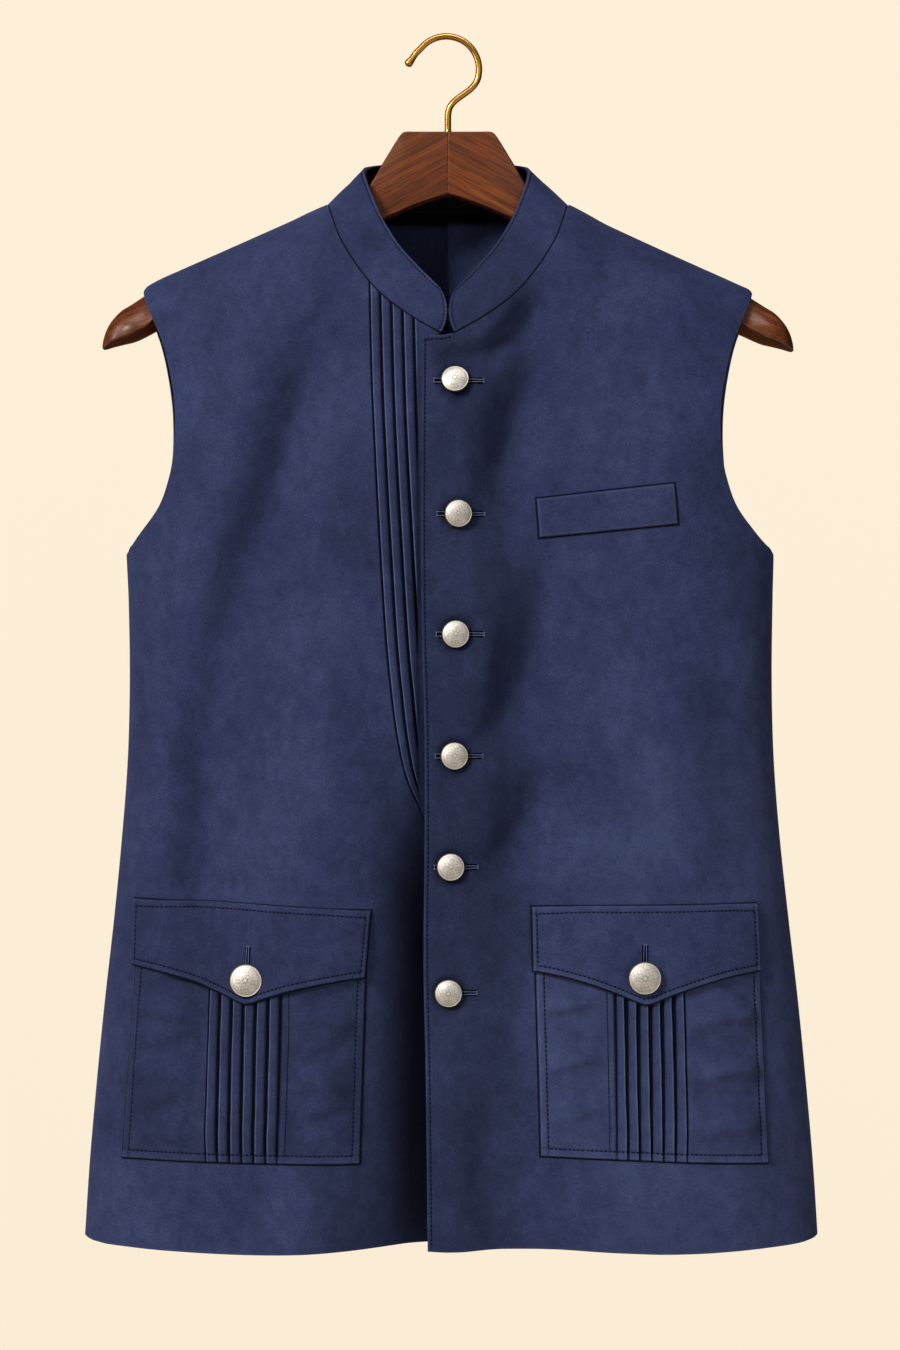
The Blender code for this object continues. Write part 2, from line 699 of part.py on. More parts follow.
def pocket_flap(ground, side):
    """A pointed flap, sewn along its top and lifted over the patch below that."""
    corners, point = FLAPS[side], FLAP_POINTS[side]
    shares = [point.share * s for s in (0.0, 0.2, 0.4, 0.6, 0.8, 1.0)]
    shares += [point.share + (1 - point.share) * s for s in (0.2, 0.4, 0.6, 0.75, 0.86, 0.94, 1.0)]
    places, lifts = [], []
    for down, lift in FLAP_LIFT:
        line = []
        for share in shares:
            top = corner_mix(corners, share, 0.0)
            to_point = share / point.share if share < point.share else (1 - share) / (1 - point.share)
            near = Vector((corners.low_x1, corners.low_z1))
            far = Vector((corners.low_x2, corners.low_z2))
            low = (near if share < point.share else far).lerp(Vector((point.x, point.z)), to_point)
            low.y += FLAP_CURVE * 4 * to_point * (1 - to_point)
            line.append(top.lerp(low, down))
        places.append(line)
        lifts.append([LIE_GAP + lift] * len(line))
    flat = [[0.0] * len(shares) for _ in FLAP_LIFT]
    return laid_piece(ground, places, lifts, flat, FLAP_CLOTH)


def chest_welt(ground):
    places = [[corner_mix(WELT, c / 5, r / 2) for c in range(6)] for r in range(3)]
    level = [[LIE_GAP] * 6 for _ in range(3)]
    flat = [[0.0] * 6 for _ in range(3)]
    return laid_piece(ground, places, level, flat, WELT_CLOTH)


# Meshes

def material(name, colour, roughness, metallic=0.0):
    made = bpy.data.materials.new(name)
    made.use_nodes = True
    shader = made.node_tree.nodes["Principled BSDF"]
    shader.inputs["Base Color"].default_value = (*colour, 1.0)
    shader.inputs["Roughness"].default_value = roughness
    shader.inputs["Metallic"].default_value = metallic
    made.diffuse_color = (*colour, 1.0)
    return made


def add_object(name, mesh, finish):
    obj = bpy.data.objects.new(name, mesh)
    bpy.context.scene.collection.objects.link(obj)
    mesh.materials.append(finish)
    return obj


def finish_mesh(name, bm, finish):
    """Turns the faces outwards, scales to metres and makes the object."""
    bmesh.ops.recalc_face_normals(bm, faces=bm.faces)
    if bm.calc_volume(signed=True) < 0:
        bmesh.ops.reverse_faces(bm, faces=bm.faces)
    bmesh.ops.scale(bm, vec=(MM, MM, MM), verts=bm.verts)
    mesh = bpy.data.meshes.new(name)
    bm.to_mesh(mesh)
    bm.free()
    mesh.shade_smooth()
    mesh.set_sharp_from_angle(angle=math.radians(40))
    return add_object(name, mesh, finish)


def wall(name, outer, inner, finish):
    """A closed wall between two grids of points."""
    bm = bmesh.new()
    rows, columns = len(outer), len(outer[0])
    skins = [[[bm.verts.new(p) for p in line] for line in grid] for grid in (outer, inner)]
    for skin in skins:
        for r in range(rows - 1):
            for c in range(columns - 1):
                bm.faces.new((skin[r][c], skin[r][c + 1], skin[r + 1][c + 1], skin[r + 1][c]))
    border = [(0, c) for c in range(columns)]
    border += [(r, columns - 1) for r in range(1, rows)]
    border += [(rows - 1, c) for c in reversed(range(columns - 1))]
    border += [(r, 0) for r in reversed(range(1, rows - 1))]
    for (r1, c1), (r2, c2) in zip(border, border[1:] + border[:1]):
        bm.faces.new((skins[0][r1][c1], skins[0][r2][c2], skins[1][r2][c2], skins[1][r1][c1]))
    return finish_mesh(name, bm, finish)


def lofted(name, loops, finish):
    """A closed solid through loops of points, capped at both ends."""
    bm = bmesh.new()
    rings = [[bm.verts.new(p) for p in loop] for loop in loops]
    for first, second in zip(rings, rings[1:]):
        for i in range(len(first)):
            j = (i + 1) % len(first)
            bm.faces.new((first[i], first[j], second[j], second[i]))
    caps = [bm.faces.new(rings[0]), bm.faces.new(rings[-1])]
    bmesh.ops.triangulate(bm, faces=caps)
    return finish_mesh(name, bm, finish)


def button(name, diameter, place, outward, finish):
    """A domed shank button, turned round its own axis, standing on the cloth."""
    bm = bmesh.new()
    radius = diameter / 2
    rings = []
    for share, height in BUTTON_PROFILE:
        ring = []
        for k in range(BUTTON_SIDES):
            angle = 2 * math.pi * k / BUTTON_SIDES
            at = (radius * share * math.cos(angle), radius * share * math.sin(angle), radius * height)
            ring.append(bm.verts.new(at))
        rings.append(ring)
    for first, second in zip(rings, rings[1:]):
        for i in range(BUTTON_SIDES):
            j = (i + 1) % BUTTON_SIDES
            bm.faces.new((first[i], first[j], second[j], second[i]))
    bm.faces.new(rings[0])
    crown = bm.verts.new((0.0, 0.0, radius * (BUTTON_PROFILE[-1][1] + 0.02)))
    for i in range(BUTTON_SIDES):
        bm.faces.new((rings[-1][i], rings[-1][(i + 1) % BUTTON_SIDES], crown))
    obj = finish_mesh(name, bm, finish)
    obj.location = place * MM
    obj.rotation_euler = outward.to_track_quat("Z", "Y").to_euler()
    return obj


# Hanger

def plain_section(arm):
    """A rounded bar: its top, then its underside, as one loop."""
    loop = []
    for k in range(9):
        angle = math.radians(-90 + 22.5 * k)
        y = arm.half_depth * math.copysign(abs(math.sin(angle)) ** 0.7, angle)
        loop.append(Vector((arm.x, y, arm.top - arm.round * (1 - math.cos(angle)))))
    return loop + underside(arm.x, arm.half_depth, arm.low, arm.scoop)


def underside(x, half_depth, low, scoop):
    lip = min(ARM_LIP, half_depth * 0.5)
    hollow = half_depth - lip
    places = [(half_depth, 0.0), (hollow, 0.0), (hollow * 0.75, 0.72), (hollow * 0.3, 0.96)]
    places += [(-y, height) for y, height in reversed(places)]
    return [Vector((x, y, low + scoop * height)) for y, height in places]


class Ceiling:
    """The inner faces of the front and the back over one shoulder, read from below."""

    def __init__(self, front, back):
        self.trees = [grid_tree(front.inner(CLOTH)), grid_tree(back.inner(CLOTH))]

    def height(self, x, away):
        """The lower of the two faces this far from the ridge, or the shared surface past an edge."""
        found = [surface_z(x, away) - EDGE_CLEAR]
        for tree, sign in zip(self.trees, (-1, 1)):
            start = Vector((x, sign * max(away, 2 * SEAM_GAP), -300.0))
            place = tree.ray_cast(start, Vector((0.0, 0.0, 1.0)))[0]
            if place:
                found.append(place.z)
        return min(found[1:] or found)


def surface_z(x, away):
    """The height at which the shallower half of the body is this deep."""
    high, low = ridge_z(x), ridge_z(x) - SHOULDER_ROUND
    for _ in range(30):
        middle = (high + low) / 2
        depth = min(body_depth(x, middle, "front"), body_depth(x, middle, "back"))
        high, low = (high, middle) if depth > away else (middle, low)
    return low


def under_cloth(arm, sign, ceiling):
    tops = []
    for k in range(5):
        y = arm.half_depth * math.sin(math.radians(22.5 * k)) ** 0.8
        tops.append((y, ceiling.height(sign * arm.x, y + (HANGER_GAP if k else 0.0)) - HANGER_GAP))
    loop = [Vector((arm.x, -y, z)) for y, z in reversed(tops)]
    loop += [Vector((arm.x, y, z)) for y, z in tops[1:]]
    low = min(ridge_z(sign * arm.x) - CLOTH - arm.height, tops[-1][1] - 4.0)
    return loop + underside(arm.x, arm.half_depth, low, arm.scoop)


def hanger_arm(name, sign, ceiling, bore, finish):
    loops = [plain_section(arm) for arm in ARM_NECK]
    loops += [under_cloth(arm, sign, ceiling) for arm in ARM_SHOULDER]
    drop = ridge_z(sign * SHOULDER_HALF) - ridge_z(-SHOULDER_HALF)
    loops += [[p + Vector((0.0, 0.0, drop)) for p in plain_section(arm)] for arm in ARM_TIP]
    obj = lofted(name, [[Vector((sign * p.x, p.y, p.z)) for p in loop] for loop in loops], finish)
    cut = obj.modifiers.new("stem bore", "BOOLEAN")
    cut.operation = "DIFFERENCE"
    cut.object = bore
    return obj


def stem_bore():
    """The cutter for the hole that the hook's stem is driven into."""
    length = STEM_DEPTH + 10.0
    middle = ARM_NECK[0].top - STEM_DEPTH + length / 2
    bpy.ops.mesh.primitive_cylinder_add(
        vertices=16, radius=STEM_BORE / 2 * MM, depth=length * MM, location=(0.0, 0.0, middle * MM)
    )
    cutter = bpy.context.object
    cutter.name = "stem_bore_cutter"
    cutter.hide_render = True
    cutter.display_type = "WIRE"
    return cutter


def hook(finish):
    """A round wire: straight in the wood, bent over to a round crown, with a flared ball end."""
    points = list(HOOK_START)
    centre_z = -HOOK_RADIUS + WIRE / 2
    for k in range(15):
        angle = math.radians(-8 + 163 * k / 14)
        x = HOOK_RADIUS * math.cos(angle)
        points.append(HookPoint(x, centre_z + HOOK_RADIUS * math.sin(angle), 1.0))
    points += HOOK_END
    curve = bpy.data.curves.new("hook", "CURVE")
    curve.dimensions = "3D"
    curve.bevel_depth = WIRE / 2 * MM
    curve.bevel_resolution = 2
    curve.use_fill_caps = True
    spline = curve.splines.new("POLY")
    spline.points.add(len(points) - 1)
    for place, point in zip(spline.points, points):
        place.co = (point.x * MM, 0.0, point.z * MM, 1.0)
        place.radius = point.thickness
    obj = bpy.data.objects.new("hook", curve)
    bpy.context.scene.collection.objects.link(obj)
    curve.materials.append(finish)
    return obj


def clear_scene():
    for obj in list(bpy.data.objects):
        bpy.data.objects.remove(obj, do_unlink=True)


def build():
    clear_scene()
    cloth = material("navy brushed cotton", (0.040, 0.052, 0.110), 0.85)
    metal = material("antique silver", (0.52, 0.48, 0.43), 0.38, 1.0)
    wood = material("walnut", (0.13, 0.045, 0.022), 0.45)
    brass = material("brass", (0.42, 0.22, 0.05), 0.3, 1.0)

    left, right = front_left_panel(), front_right_panel()
    insert, tuck_heights = insert_panel(right)
    back_right, back_left = back_panel("right"), back_panel("left")
    seam = collar_seam((insert, right, back_right, back_left, left))
    collar = collar_panel(seam)
    join_collar(collar, seam)

    wall("front_left", left.points, left.inner(CLOTH), cloth)
    wall("front_right", right.points, right.inner(CLOTH), cloth)
    raised = [
        [p + n * h for p, n, h in zip(*lines)]
        for lines in zip(insert.points, insert.normals, tuck_heights)
    ]
    wall("tuck_insert", raised, insert.inner(CLOTH), cloth)
    wall("back_right", back_right.points, back_right.inner(CLOTH), cloth)
    wall("back_left", back_left.points, back_left.inner(CLOTH), cloth)
    wall("collar", collar.points, collar.inner(COLLAR_CLOTH), cloth)

    grounds = {"right": Ground(right), "left": Ground(left)}
    wall("chest_welt", *chest_welt(grounds["left"]), cloth)
    for side, ground in grounds.items():
        wall("pocket_" + side, *pocket_patch(ground, side), cloth)
        flap_outer, flap_inner = pocket_flap(ground, side)
        wall("flap_" + side, flap_outer, flap_inner, cloth)
        x, z = POCKET_BUTTONS[side]
        _, outward = ground.hit(x, z)
        lift = LIE_GAP + FLAP_LIFT[-1][1] + FLAP_CLOTH + SEAM_GAP
        button("pocket_button_" + side, POCKET_BUTTON, ground.lifted(x, z, lift), outward, metal)
    for number, (x, z) in enumerate(FRONT_BUTTONS, start=1):
        _, outward = grounds["left"].hit(x, z)
        place = grounds["left"].lifted(x, z, SEAM_GAP + 0.15)
        button(f"front_button_{number}", FRONT_BUTTON, place, outward, metal)

    bore = stem_bore()
    hanger_arm("hanger_arm_right", -1, Ceiling(right, back_right), bore, wood)
    hanger_arm("hanger_arm_left", 1, Ceiling(left, back_left), bore, wood)
    hook(brass)


build()
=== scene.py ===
# %% [markdown]
# # A nehru jacket on its wooden hanger
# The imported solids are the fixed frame: they say where every piece is, in metres. Each cell below makes
# one piece or one finish of the real jacket on that frame, and prints what it made.

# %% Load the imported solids
import math

import bpy
import numpy as np
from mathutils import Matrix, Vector, noise
from mathutils.bvhtree import BVHTree


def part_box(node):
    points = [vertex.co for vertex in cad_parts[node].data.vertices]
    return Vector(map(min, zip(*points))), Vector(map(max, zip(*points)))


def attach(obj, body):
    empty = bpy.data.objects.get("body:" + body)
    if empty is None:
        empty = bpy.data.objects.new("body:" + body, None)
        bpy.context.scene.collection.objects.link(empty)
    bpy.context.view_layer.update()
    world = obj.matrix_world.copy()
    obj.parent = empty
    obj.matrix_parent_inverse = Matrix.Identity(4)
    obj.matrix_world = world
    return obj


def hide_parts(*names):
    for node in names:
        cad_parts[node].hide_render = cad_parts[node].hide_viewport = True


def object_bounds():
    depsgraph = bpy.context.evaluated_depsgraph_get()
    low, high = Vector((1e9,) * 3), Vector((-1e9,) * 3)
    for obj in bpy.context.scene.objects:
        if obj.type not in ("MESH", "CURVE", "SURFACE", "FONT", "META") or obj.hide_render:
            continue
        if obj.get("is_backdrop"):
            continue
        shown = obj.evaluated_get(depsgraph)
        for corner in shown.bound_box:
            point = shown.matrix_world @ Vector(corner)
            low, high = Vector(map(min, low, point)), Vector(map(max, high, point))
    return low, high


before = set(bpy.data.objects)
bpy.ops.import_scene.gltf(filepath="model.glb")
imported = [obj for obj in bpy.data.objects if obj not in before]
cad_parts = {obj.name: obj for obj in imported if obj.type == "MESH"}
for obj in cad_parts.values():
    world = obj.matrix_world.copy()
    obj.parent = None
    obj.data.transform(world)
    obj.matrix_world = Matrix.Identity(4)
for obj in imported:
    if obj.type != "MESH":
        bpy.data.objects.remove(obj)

solid_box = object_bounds()
bpy.ops.object.select_all(action="DESELECT")

# %% [markdown]
# ## The body that the cloth hangs round
# A pattern cutter draws a garment from a few measured lines: its half widths, its depth, the shoulder
# line, the armhole, the neck and the hem. The tables hold those lines in millimetres, with x to the
# wearer's left, y to the back and z up from the hook's crown, and a smooth curve is read through the rows
# of each.

# %% Measured lines
MM = 0.001
CLOTH = 2.0              # thickness of the panels' cloth, with its lining
SEAM_HALF_GAP = 0.15
OVAL_POWER = 2.4
SHOULDER_ROUND = 130.0
SHOULDER_POWER = 2.2
UNDERARM_Z = -351.0
NECK_HALF = 82.0
SHOULDER_HALF = 206.8
CORNER_START, CORNER_RUN, CORNER_DROP = 203.8, 3.0, 2.0   # the rounded corner at the shoulder's end
COLLAR_END = 4.5

BODY = [  # z, half width on the wearer's right, on the left
    (-816, 246.9, 251.3), (-762, 243.4, 247.8), (-708, 238.7, 243.1), (-653, 233.2, 237.7),
    (-599, 227.1, 231.5), (-544, 221.7, 225.5), (-490, 217.6, 221.3), (-436, 216.2, 219.9),
    (-381, 217, 220.5), (-351, 218.4, 221.2), (-280, 221, 221.5), (-170, 226, 226), (-80, 228, 228),
]
DEPTH = [(-816, 77, 72), (-600, 75, 71), (-350, 72, 69), (-210, 67, 63), (-80, 62, 60)]  # z, front, back
RIDGE = [  # x, height of the shoulder line on the right, on the left
    (0, -84, -84), (40, -97, -97), (82, -112.8, -112.8), (94, -118, -118.9), (106, -123.8, -125.6),
    (120.4, -130.2, -132.4), (151.6, -144, -146.6), (182.2, -157.4, -160.2), (197, -164, -166.8),
    (208, -170.6, -172), (230, -187, -188),
]
ARMHOLE = [  # z, half width of the front, of the back
    (-351, 219.3, 219.3), (-340, 209.8, 211.6), (-320, 194.2, 198.2), (-300, 186.6, 192.2),
    (-285, 183.8, 190.6), (-269, 182.6, 189.8), (-249, 183.2, 190.3), (-228, 186.8, 192.8),
    (-208, 192.3, 196.8), (-190, 200, 202.5), (-174, 206.6, 206.7), (-168, 206.8, 206.8),
]
FRONT_NECK = [(0, -206.8), (5, -205.2), (31.8, -189), (51.8, -171), (71.8, -141), (82, -112.8)]  # x, z
LAP_TOP = [(-16.5, -209.8), (-16.1, -208.7), (-15.2, -207.9), (-13.4, -207.4), (-4, -207), (4.5, -205.4)]
FRONT_HEM = [
    (-247, -811.2), (-236, -813.1), (-215, -814.1), (-190, -815.2), (-120, -816.4), (-30, -812),
    (0, -813.5), (50, -812), (140, -816.4), (195, -815.6), (222, -814.4), (240, -813.1), (251, -811.2),
]
BACK_HEM = [(-247, -811.2), (-90, -812), (60, -814.5), (251, -811.2)]
LEFT_EDGE = [  # z, x of the overlapping front's edge
    (-816, -13.4), (-700, -14.7), (-620, -16.1), (-540, -15.5), (-470, -15.6), (-400, -17.3), (-320, -17.5),
    (-205, -16.5),
]
INSERT_SEAM = [  # z, x of the seam between the right front and its tucked insert
    (-596, 14), (-522, -18.5), (-500, -27.8), (-475, -33.5), (-449, -37.2), (-409, -41.3), (-330, -46.2),
    (-265, -49.6), (-232, -51), (-168, -52.6),
]
print("measured lines:", sum(map(len, (BODY, DEPTH, RIDGE, ARMHOLE, INSERT_SEAM))), "rows")

# %% [markdown]
# ## Curves and fades
# The measured rows lie far apart. They could be joined by straight lines, but cloth has no corners there,
# so a smooth curve is read between them. An ease, a bell and a quarter of an oval then fade one swell of
# the cloth into the next.

# %% Curves and fades
def curve(keys, values, at):
    """A smooth curve through values at the keys, read at one place or many."""
    keys, values = np.asarray(keys, float), np.asarray(values, float)
    last = len(keys) - 1
    before, after = np.maximum(np.arange(last + 1) - 1, 0), np.minimum(np.arange(last + 1) + 1, last)
    run = (keys[after] - keys[before]).reshape((-1,) + (1,) * (values.ndim - 1))
    slopes = (values[after] - values[before]) / run
    at = np.clip(np.asarray(at, float), keys[0], keys[-1])
    i = np.clip(np.searchsorted(keys, at, side="left"), 1, last)
    span = keys[i] - keys[i - 1]
    t = (at - keys[i - 1]) / span
    if values.ndim > 1:
        t, span = t[..., None], span[..., None]
    first = (2 * t**3 - 3 * t**2 + 1) * values[i - 1] + (t**3 - 2 * t**2 + t) * span * slopes[i - 1]
    return first + (3 * t**2 - 2 * t**3) * values[i] + (t**3 - t**2) * span * slopes[i]


def read(table, at, column=1):
    """One column of a table, read between its rows."""
    return curve([row[0] for row in table], [row[column] for row in table], at)


def sided(table, x, at):
    """The first column to the wearer's right, the second to the left."""
    return np.where(x > 0, read(table, at, 2), read(table, at, 1))


def ease(t):
    """From 0 to 1 with a soft start and a soft end."""
    t = np.clip(t, 0.0, 1.0)
    return t * t * (3 - 2 * t)


def bell(offset):
    """1 at the middle, and nearly 0 two widths away."""
    return np.exp(-(offset**2))


def oval(share, power):
    """From 1 down to 0 along a quarter of an oval."""
    return (1 - share**power) ** (1 / power)


def unit(vectors):
    return vectors / (np.linalg.norm(vectors, axis=-1, keepdims=True) + 1e-12)


def lengths_along(points):
    return np.concatenate([[0.0], np.linalg.norm(np.diff(points, axis=0), axis=1).cumsum()])


SIDES = {"right": -1, "left": 1}
print("chest half width:", read(BODY, -400.0, 1), "shoulder end height:", read(RIDGE, SHOULDER_HALF, 1))

# %% [markdown]
# ## Creases
# Hung cloth falls in long soft troughs and ridges: drag lines run from the collar to the buttons, from
# the shoulder to the side, and down from the waist. Each row is one crease, a soft line between two
# points, so that every one can be placed, widened or flattened by hand. A slow noise adds the unevenness
# of washed cotton.

# %% Crease tables
MAIN_FRONT = [  # each crease from its low end up: z, x, half width on the wearer's right, on the left, rise
    [(-358, 12, 15, 40, 0), (-330, 20, 18, 56, -8), (-303, 30, 20, 68, -14), (-280, 40, 21, 72, -17),
     (-240, 56, 21, 74, -18), (-205, 65, 20, 64, -15), (-170, 71, 18, 50, -8), (-136, 75, 14, 36, 0)],
    [(-496, 6, 12, 46, 0), (-474, 24, 14, 66, -9), (-450, 44, 18, 80, -14.5), (-415, 60, 20, 84, -17.5),
     (-385, 67, 19, 84, -15.5), (-350, 71, 18, 78, -9), (-300, 73, 16, 64, 0)],
    [(-580, 3, 14, 36, 0), (-560, 24, 17, 48, -7), (-541, 45, 19, 66, -12), (-518, 60, 20, 72, -12),
     (-490, 70, 16, 64, -6), (-464, 74, 14, 52, 0)],
    [(-720, -158, 22, 36, 0), (-600, -158, 26, 48, -19), (-521, -156, 25, 54, -26),
     (-480, -156, 24, 54, -27), (-412, -146, 23, 52, -21), (-360, -131, 22, 50, -20),
     (-300, -111, 21, 46, -22), (-258, -98, 21, 42, -20), (-224, -88, 20, 40, -16),
     (-190, -78, 18, 36, -10), (-160, -68, 15, 28, -4), (-135, -64, 13, 20, 0)],
    [(-560, -32, 22, 14, 0), (-500, -38, 24, 15, -5), (-420, -46, 26, 16, -6.5), (-360, -52, 24, 15, -4.5),
     (-300, -56, 20, 14, 0)],
    [(-262, -170, 12, 20, 0), (-205, -146, 13, 24, -6.5), (-165, -114, 13, 22, -5), (-130, -90, 12, 18, 0)],
    [(-840, 64, 46, 70, -8), (-620, 64, 46, 70, -8.5), (-300, 64, 44, 66, -7), (-190, 62, 38, 50, 0)],
    [(-840, 18, 13, 20, -5.5), (-760, 20, 13, 20, -5), (-700, 24, 12, 16, 0)],
    [(-840, 46, 14, 16, 2), (-740, 44, 14, 16, 2), (-670, 42, 14, 16, 0)],
    [(-840, 172, 60, 26, 1.2), (-560, 166, 55, 26, 2.2), (-330, 158, 50, 24, 2.2), (-230, 150, 40, 20, 0)],
    [(-310, 156, 18, 24, 0), (-250, 146, 18, 26, -3), (-190, 130, 16, 22, 0)],
    [(-600, 186, 18, 16, 0), (-480, 184, 20, 16, -3), (-370, 176, 18, 16, 0)],
    [(-600, -96, 32, 26, 0), (-480, -100, 34, 28, 2.4), (-380, -100, 30, 26, 0)],
    [(-330, -180, 16, 14, 0), (-280, -172, 16, 14, 2.2), (-220, -162, 16, 14, 0)],
    [(-840, 98, 22, 22, 1.8), (-760, 98, 22, 22, 1.6), (-700, 96, 22, 22, 0)],
    [(-840, -96, 22, 22, 1.8), (-780, -98, 22, 22, 1.6), (-730, -100, 22, 22, 0)],
]
MAIN_BACK = [
    [(-372, 112, 30, 18, 0), (-300, 101, 30, 19, -9.5), (-230, 86, 28, 18, -14), (-165, 66, 20, 15, -7),
     (-132, 56, 14, 12, 0)],
    [(-380, -118, 18, 32, 0), (-306, -105, 19, 32, -10), (-236, -88, 18, 28, -13),
     (-168, -66, 15, 20, -6.5), (-132, -55, 12, 14, 0)],
    [(-400, 26, 22, 20, 0), (-300, 24, 24, 22, 3.2), (-190, 26, 20, 20, 0)],
    [(-420, -20, 20, 22, 0), (-310, -26, 22, 24, 2.6), (-195, -28, 20, 20, 0)],
    [(-470, 112, 26, 26, 0), (-350, 130, 28, 28, 3.4), (-250, 138, 24, 24, 0)],
    [(-480, -118, 26, 26, 0), (-360, -134, 28, 28, 3.4), (-250, -140, 24, 24, 0)],
    [(-620, -186, 22, 26, 0), (-500, -184, 26, 30, -12), (-420, -178, 24, 28, -11),
     (-350, -170, 18, 22, 0)],
    [(-630, 190, 26, 22, 0), (-505, 184, 30, 26, -13), (-420, 176, 28, 24, -11), (-350, 168, 20, 18, 0)],
    [(-840, 92, 26, 40, -13), (-700, 90, 26, 42, -15), (-580, 84, 24, 36, -9.5), (-450, 74, 20, 28, 0)],
    [(-840, -88, 38, 26, -14), (-710, -84, 40, 26, -16), (-590, -76, 34, 24, -11), (-470, -64, 26, 20, 0)],
    [(-840, 150, 26, 22, 3.2), (-700, 145, 26, 22, 2.8), (-590, 138, 22, 20, 0)],
    [(-840, -150, 22, 26, 3.4), (-700, -142, 22, 26, 3), (-570, -134, 20, 22, 0)],
    [(-840, 6, 24, 20, 2.6), (-690, 8, 24, 20, 2.2), (-560, 10, 20, 18, 0)],
]
print("main creases:", len(MAIN_FRONT), "in front,", len(MAIN_BACK), "behind")

# %% [markdown]
# ## Fine creases
# Short creases break up the long falls, most of all near buttons, pockets and seams. Each row is a soft
# line between two points, with its widths to the right and the left and how far it rises or sinks.

# %% Fine creases
FINE_FRONT = [
    (58, -186, 31, -218, 9, 12, -8.58), (34, -217, -6, -225, 8, 11, -7.28),
    (42, -194, 22, -207, 6, 6, 3.12), (-196, -576, -62, -583, 5, 8, -2.34),
    (64, -580, 204, -578, 5, 8, -2.34), (28, -250, 8, -264, 5, 5, 1.04), (24, -318, 10, -330, 6, 6, -1.04),
    (30, -396, 22, -440, 9, 8, 2.86), (24, -392, 8, -402, 5, 5, -1.04), (36, -492, 18, -506, 9, 8, 1.82),
    (24, -474, 6, -484, 5, 5, -1.04), (100, -418, 144, -454, 6, 11, -2.47),
    (108, -400, 150, -436, 8, 8, 1.04), (70, -470, 96, -500, 10, 8, -1.17),
    (116, -518, 148, -550, 7, 9, -1.3), (30, -570, 8, -576, 6, 6, -0.91),
    (150, -350, 190, -366, 8, 8, -1.17), (170, -330, 196, -352, 8, 8, 0.91),
    (20, -640, 34, -700, 8, 8, -1.04), (22, -712, 20, -808, 10, 12, -2.6),
    (60, -770, 66, -812, 12, 12, 1.17), (150, -770, 156, -812, 14, 14, 1.17),
    (-70, -200, -66, -250, 8, 8, -1.04), (-120, -150, -100, -190, 7, 7, -1.3),
    (-150, -160, -170, -210, 8, 8, 1.3), (-120, -212, -150, -280, 9, 9, 1.82),
    (-150, -322, -196, -352, 9, 9, -1.3), (-84, -420, -116, -470, 10, 12, -1.3),
    (-70, -500, -104, -560, 10, 8, 1.17), (-160, -560, -130, -580, 8, 8, -0.91),
    (-120, -770, -124, -812, 10, 12, -1.3), (-200, -700, -206, -790, 9, 9, -0.78),
    (-186, -420, -206, -460, 8, 8, 1.04), (186, -400, 208, -440, 8, 8, 1.04),
    (110, -150, 100, -196, 9, 9, -1.17),
]
FINE_BACK = [
    (-30, -130, -52, -180, 9, 9, -1.2), (34, -132, 60, -186, 9, 9, -1.3),
    (-110, -200, -150, -240, 10, 10, 1), (116, -206, 152, -250, 10, 10, 0.9),
    (-150, -330, -196, -352, 9, 9, -1), (150, -322, 196, -350, 9, 9, -0.9),
    (-40, -300, -70, -380, 12, 12, -1.2), (50, -320, 76, -400, 12, 12, -1.1),
    (-190, -450, -160, -520, 10, 10, 0.9), (188, -440, 164, -520, 10, 10, 0.9),
    (-40, -600, -30, -760, 12, 12, -1.4), (36, -560, 44, -740, 12, 12, -1.5),
    (-180, -660, -190, -790, 12, 12, 1), (184, -680, 196, -800, 12, 12, 1),
]
LAP_STIFF, LAP_FREE = 5.0, 40.0     # the lap's layers hold the main creases off the buttons
TURN_IN = [  # z, how far the right front falls back beside the lap, over what width
    (-816, 46, 90), (-700, 45, 84), (-600, 41, 78), (-540, 33, 74), (-480, 24, 72), (-420, 17, 68),
    (-340, 12, 62), (-260, 7, 54), (-200, 3, 44),
]
TURN_POWER = 2.1
UNDULATION = [(70.0, 110.0, 1.8), (26.0, 40.0, 0.75), (10.0, 14.0, 0.14)]   # across, down, height
FRONT_LAYER, BACK_LAYER, COLLAR_LAYER = 3.0, 11.0, 21.0     # which slice of the noise each one reads
CREASE_ENDS = 0.18, 0.4             # a fine crease reaches this share past its ends, and fades over this one
SIDE_FADE = 1.4                     # creases die away at the side seams
SHOULDER_FADE = 0.3, 0.6            # and below the shoulder line
print("fine creases:", len(FINE_FRONT), "in front,", len(FINE_BACK), "behind")

# %% [markdown]
# ## The form of the cloth
# At any place the cloth stands as far out as the body's oval, rounded over the shoulder line, with the
# creases added. Adding them up is simpler than sculpting each one, and every row can be changed on its
# own. Seams hold the cloth, so the creases fade out at the sides and the shoulders.

# %% The form of the cloth
def falls(paths, x, z):
    """The main creases: troughs and ridges whose middle, widths and rise change down their length."""
    total = np.zeros_like(x)
    for path in paths:
        aside = x - read(path, z)
        aside = aside / np.where(aside < 0, read(path, z, 2), read(path, z, 3))
        total += read(path, z, 4) * bell(aside)
    return total


def creases(rows, x, z):
    """The fine creases: short soft lines between two points."""
    total = np.zeros_like(x)
    past, fade = CREASE_ENDS
    for x_top, z_top, x_low, z_low, right_half, left_half, rise in rows:
        run_x, run_z = x_low - x_top, z_low - z_top
        length = math.hypot(run_x, run_z)
        share = ((x - x_top) * run_x + (z - z_top) * run_z) / length**2
        aside = ((x - x_top) * run_z - (z - z_top) * run_x) / length
        aside = aside / np.where(aside > 0, right_half, left_half)
        total += rise * ease((share + past) / fade) * ease((1 + past - share) / fade) * bell(aside)
    return total


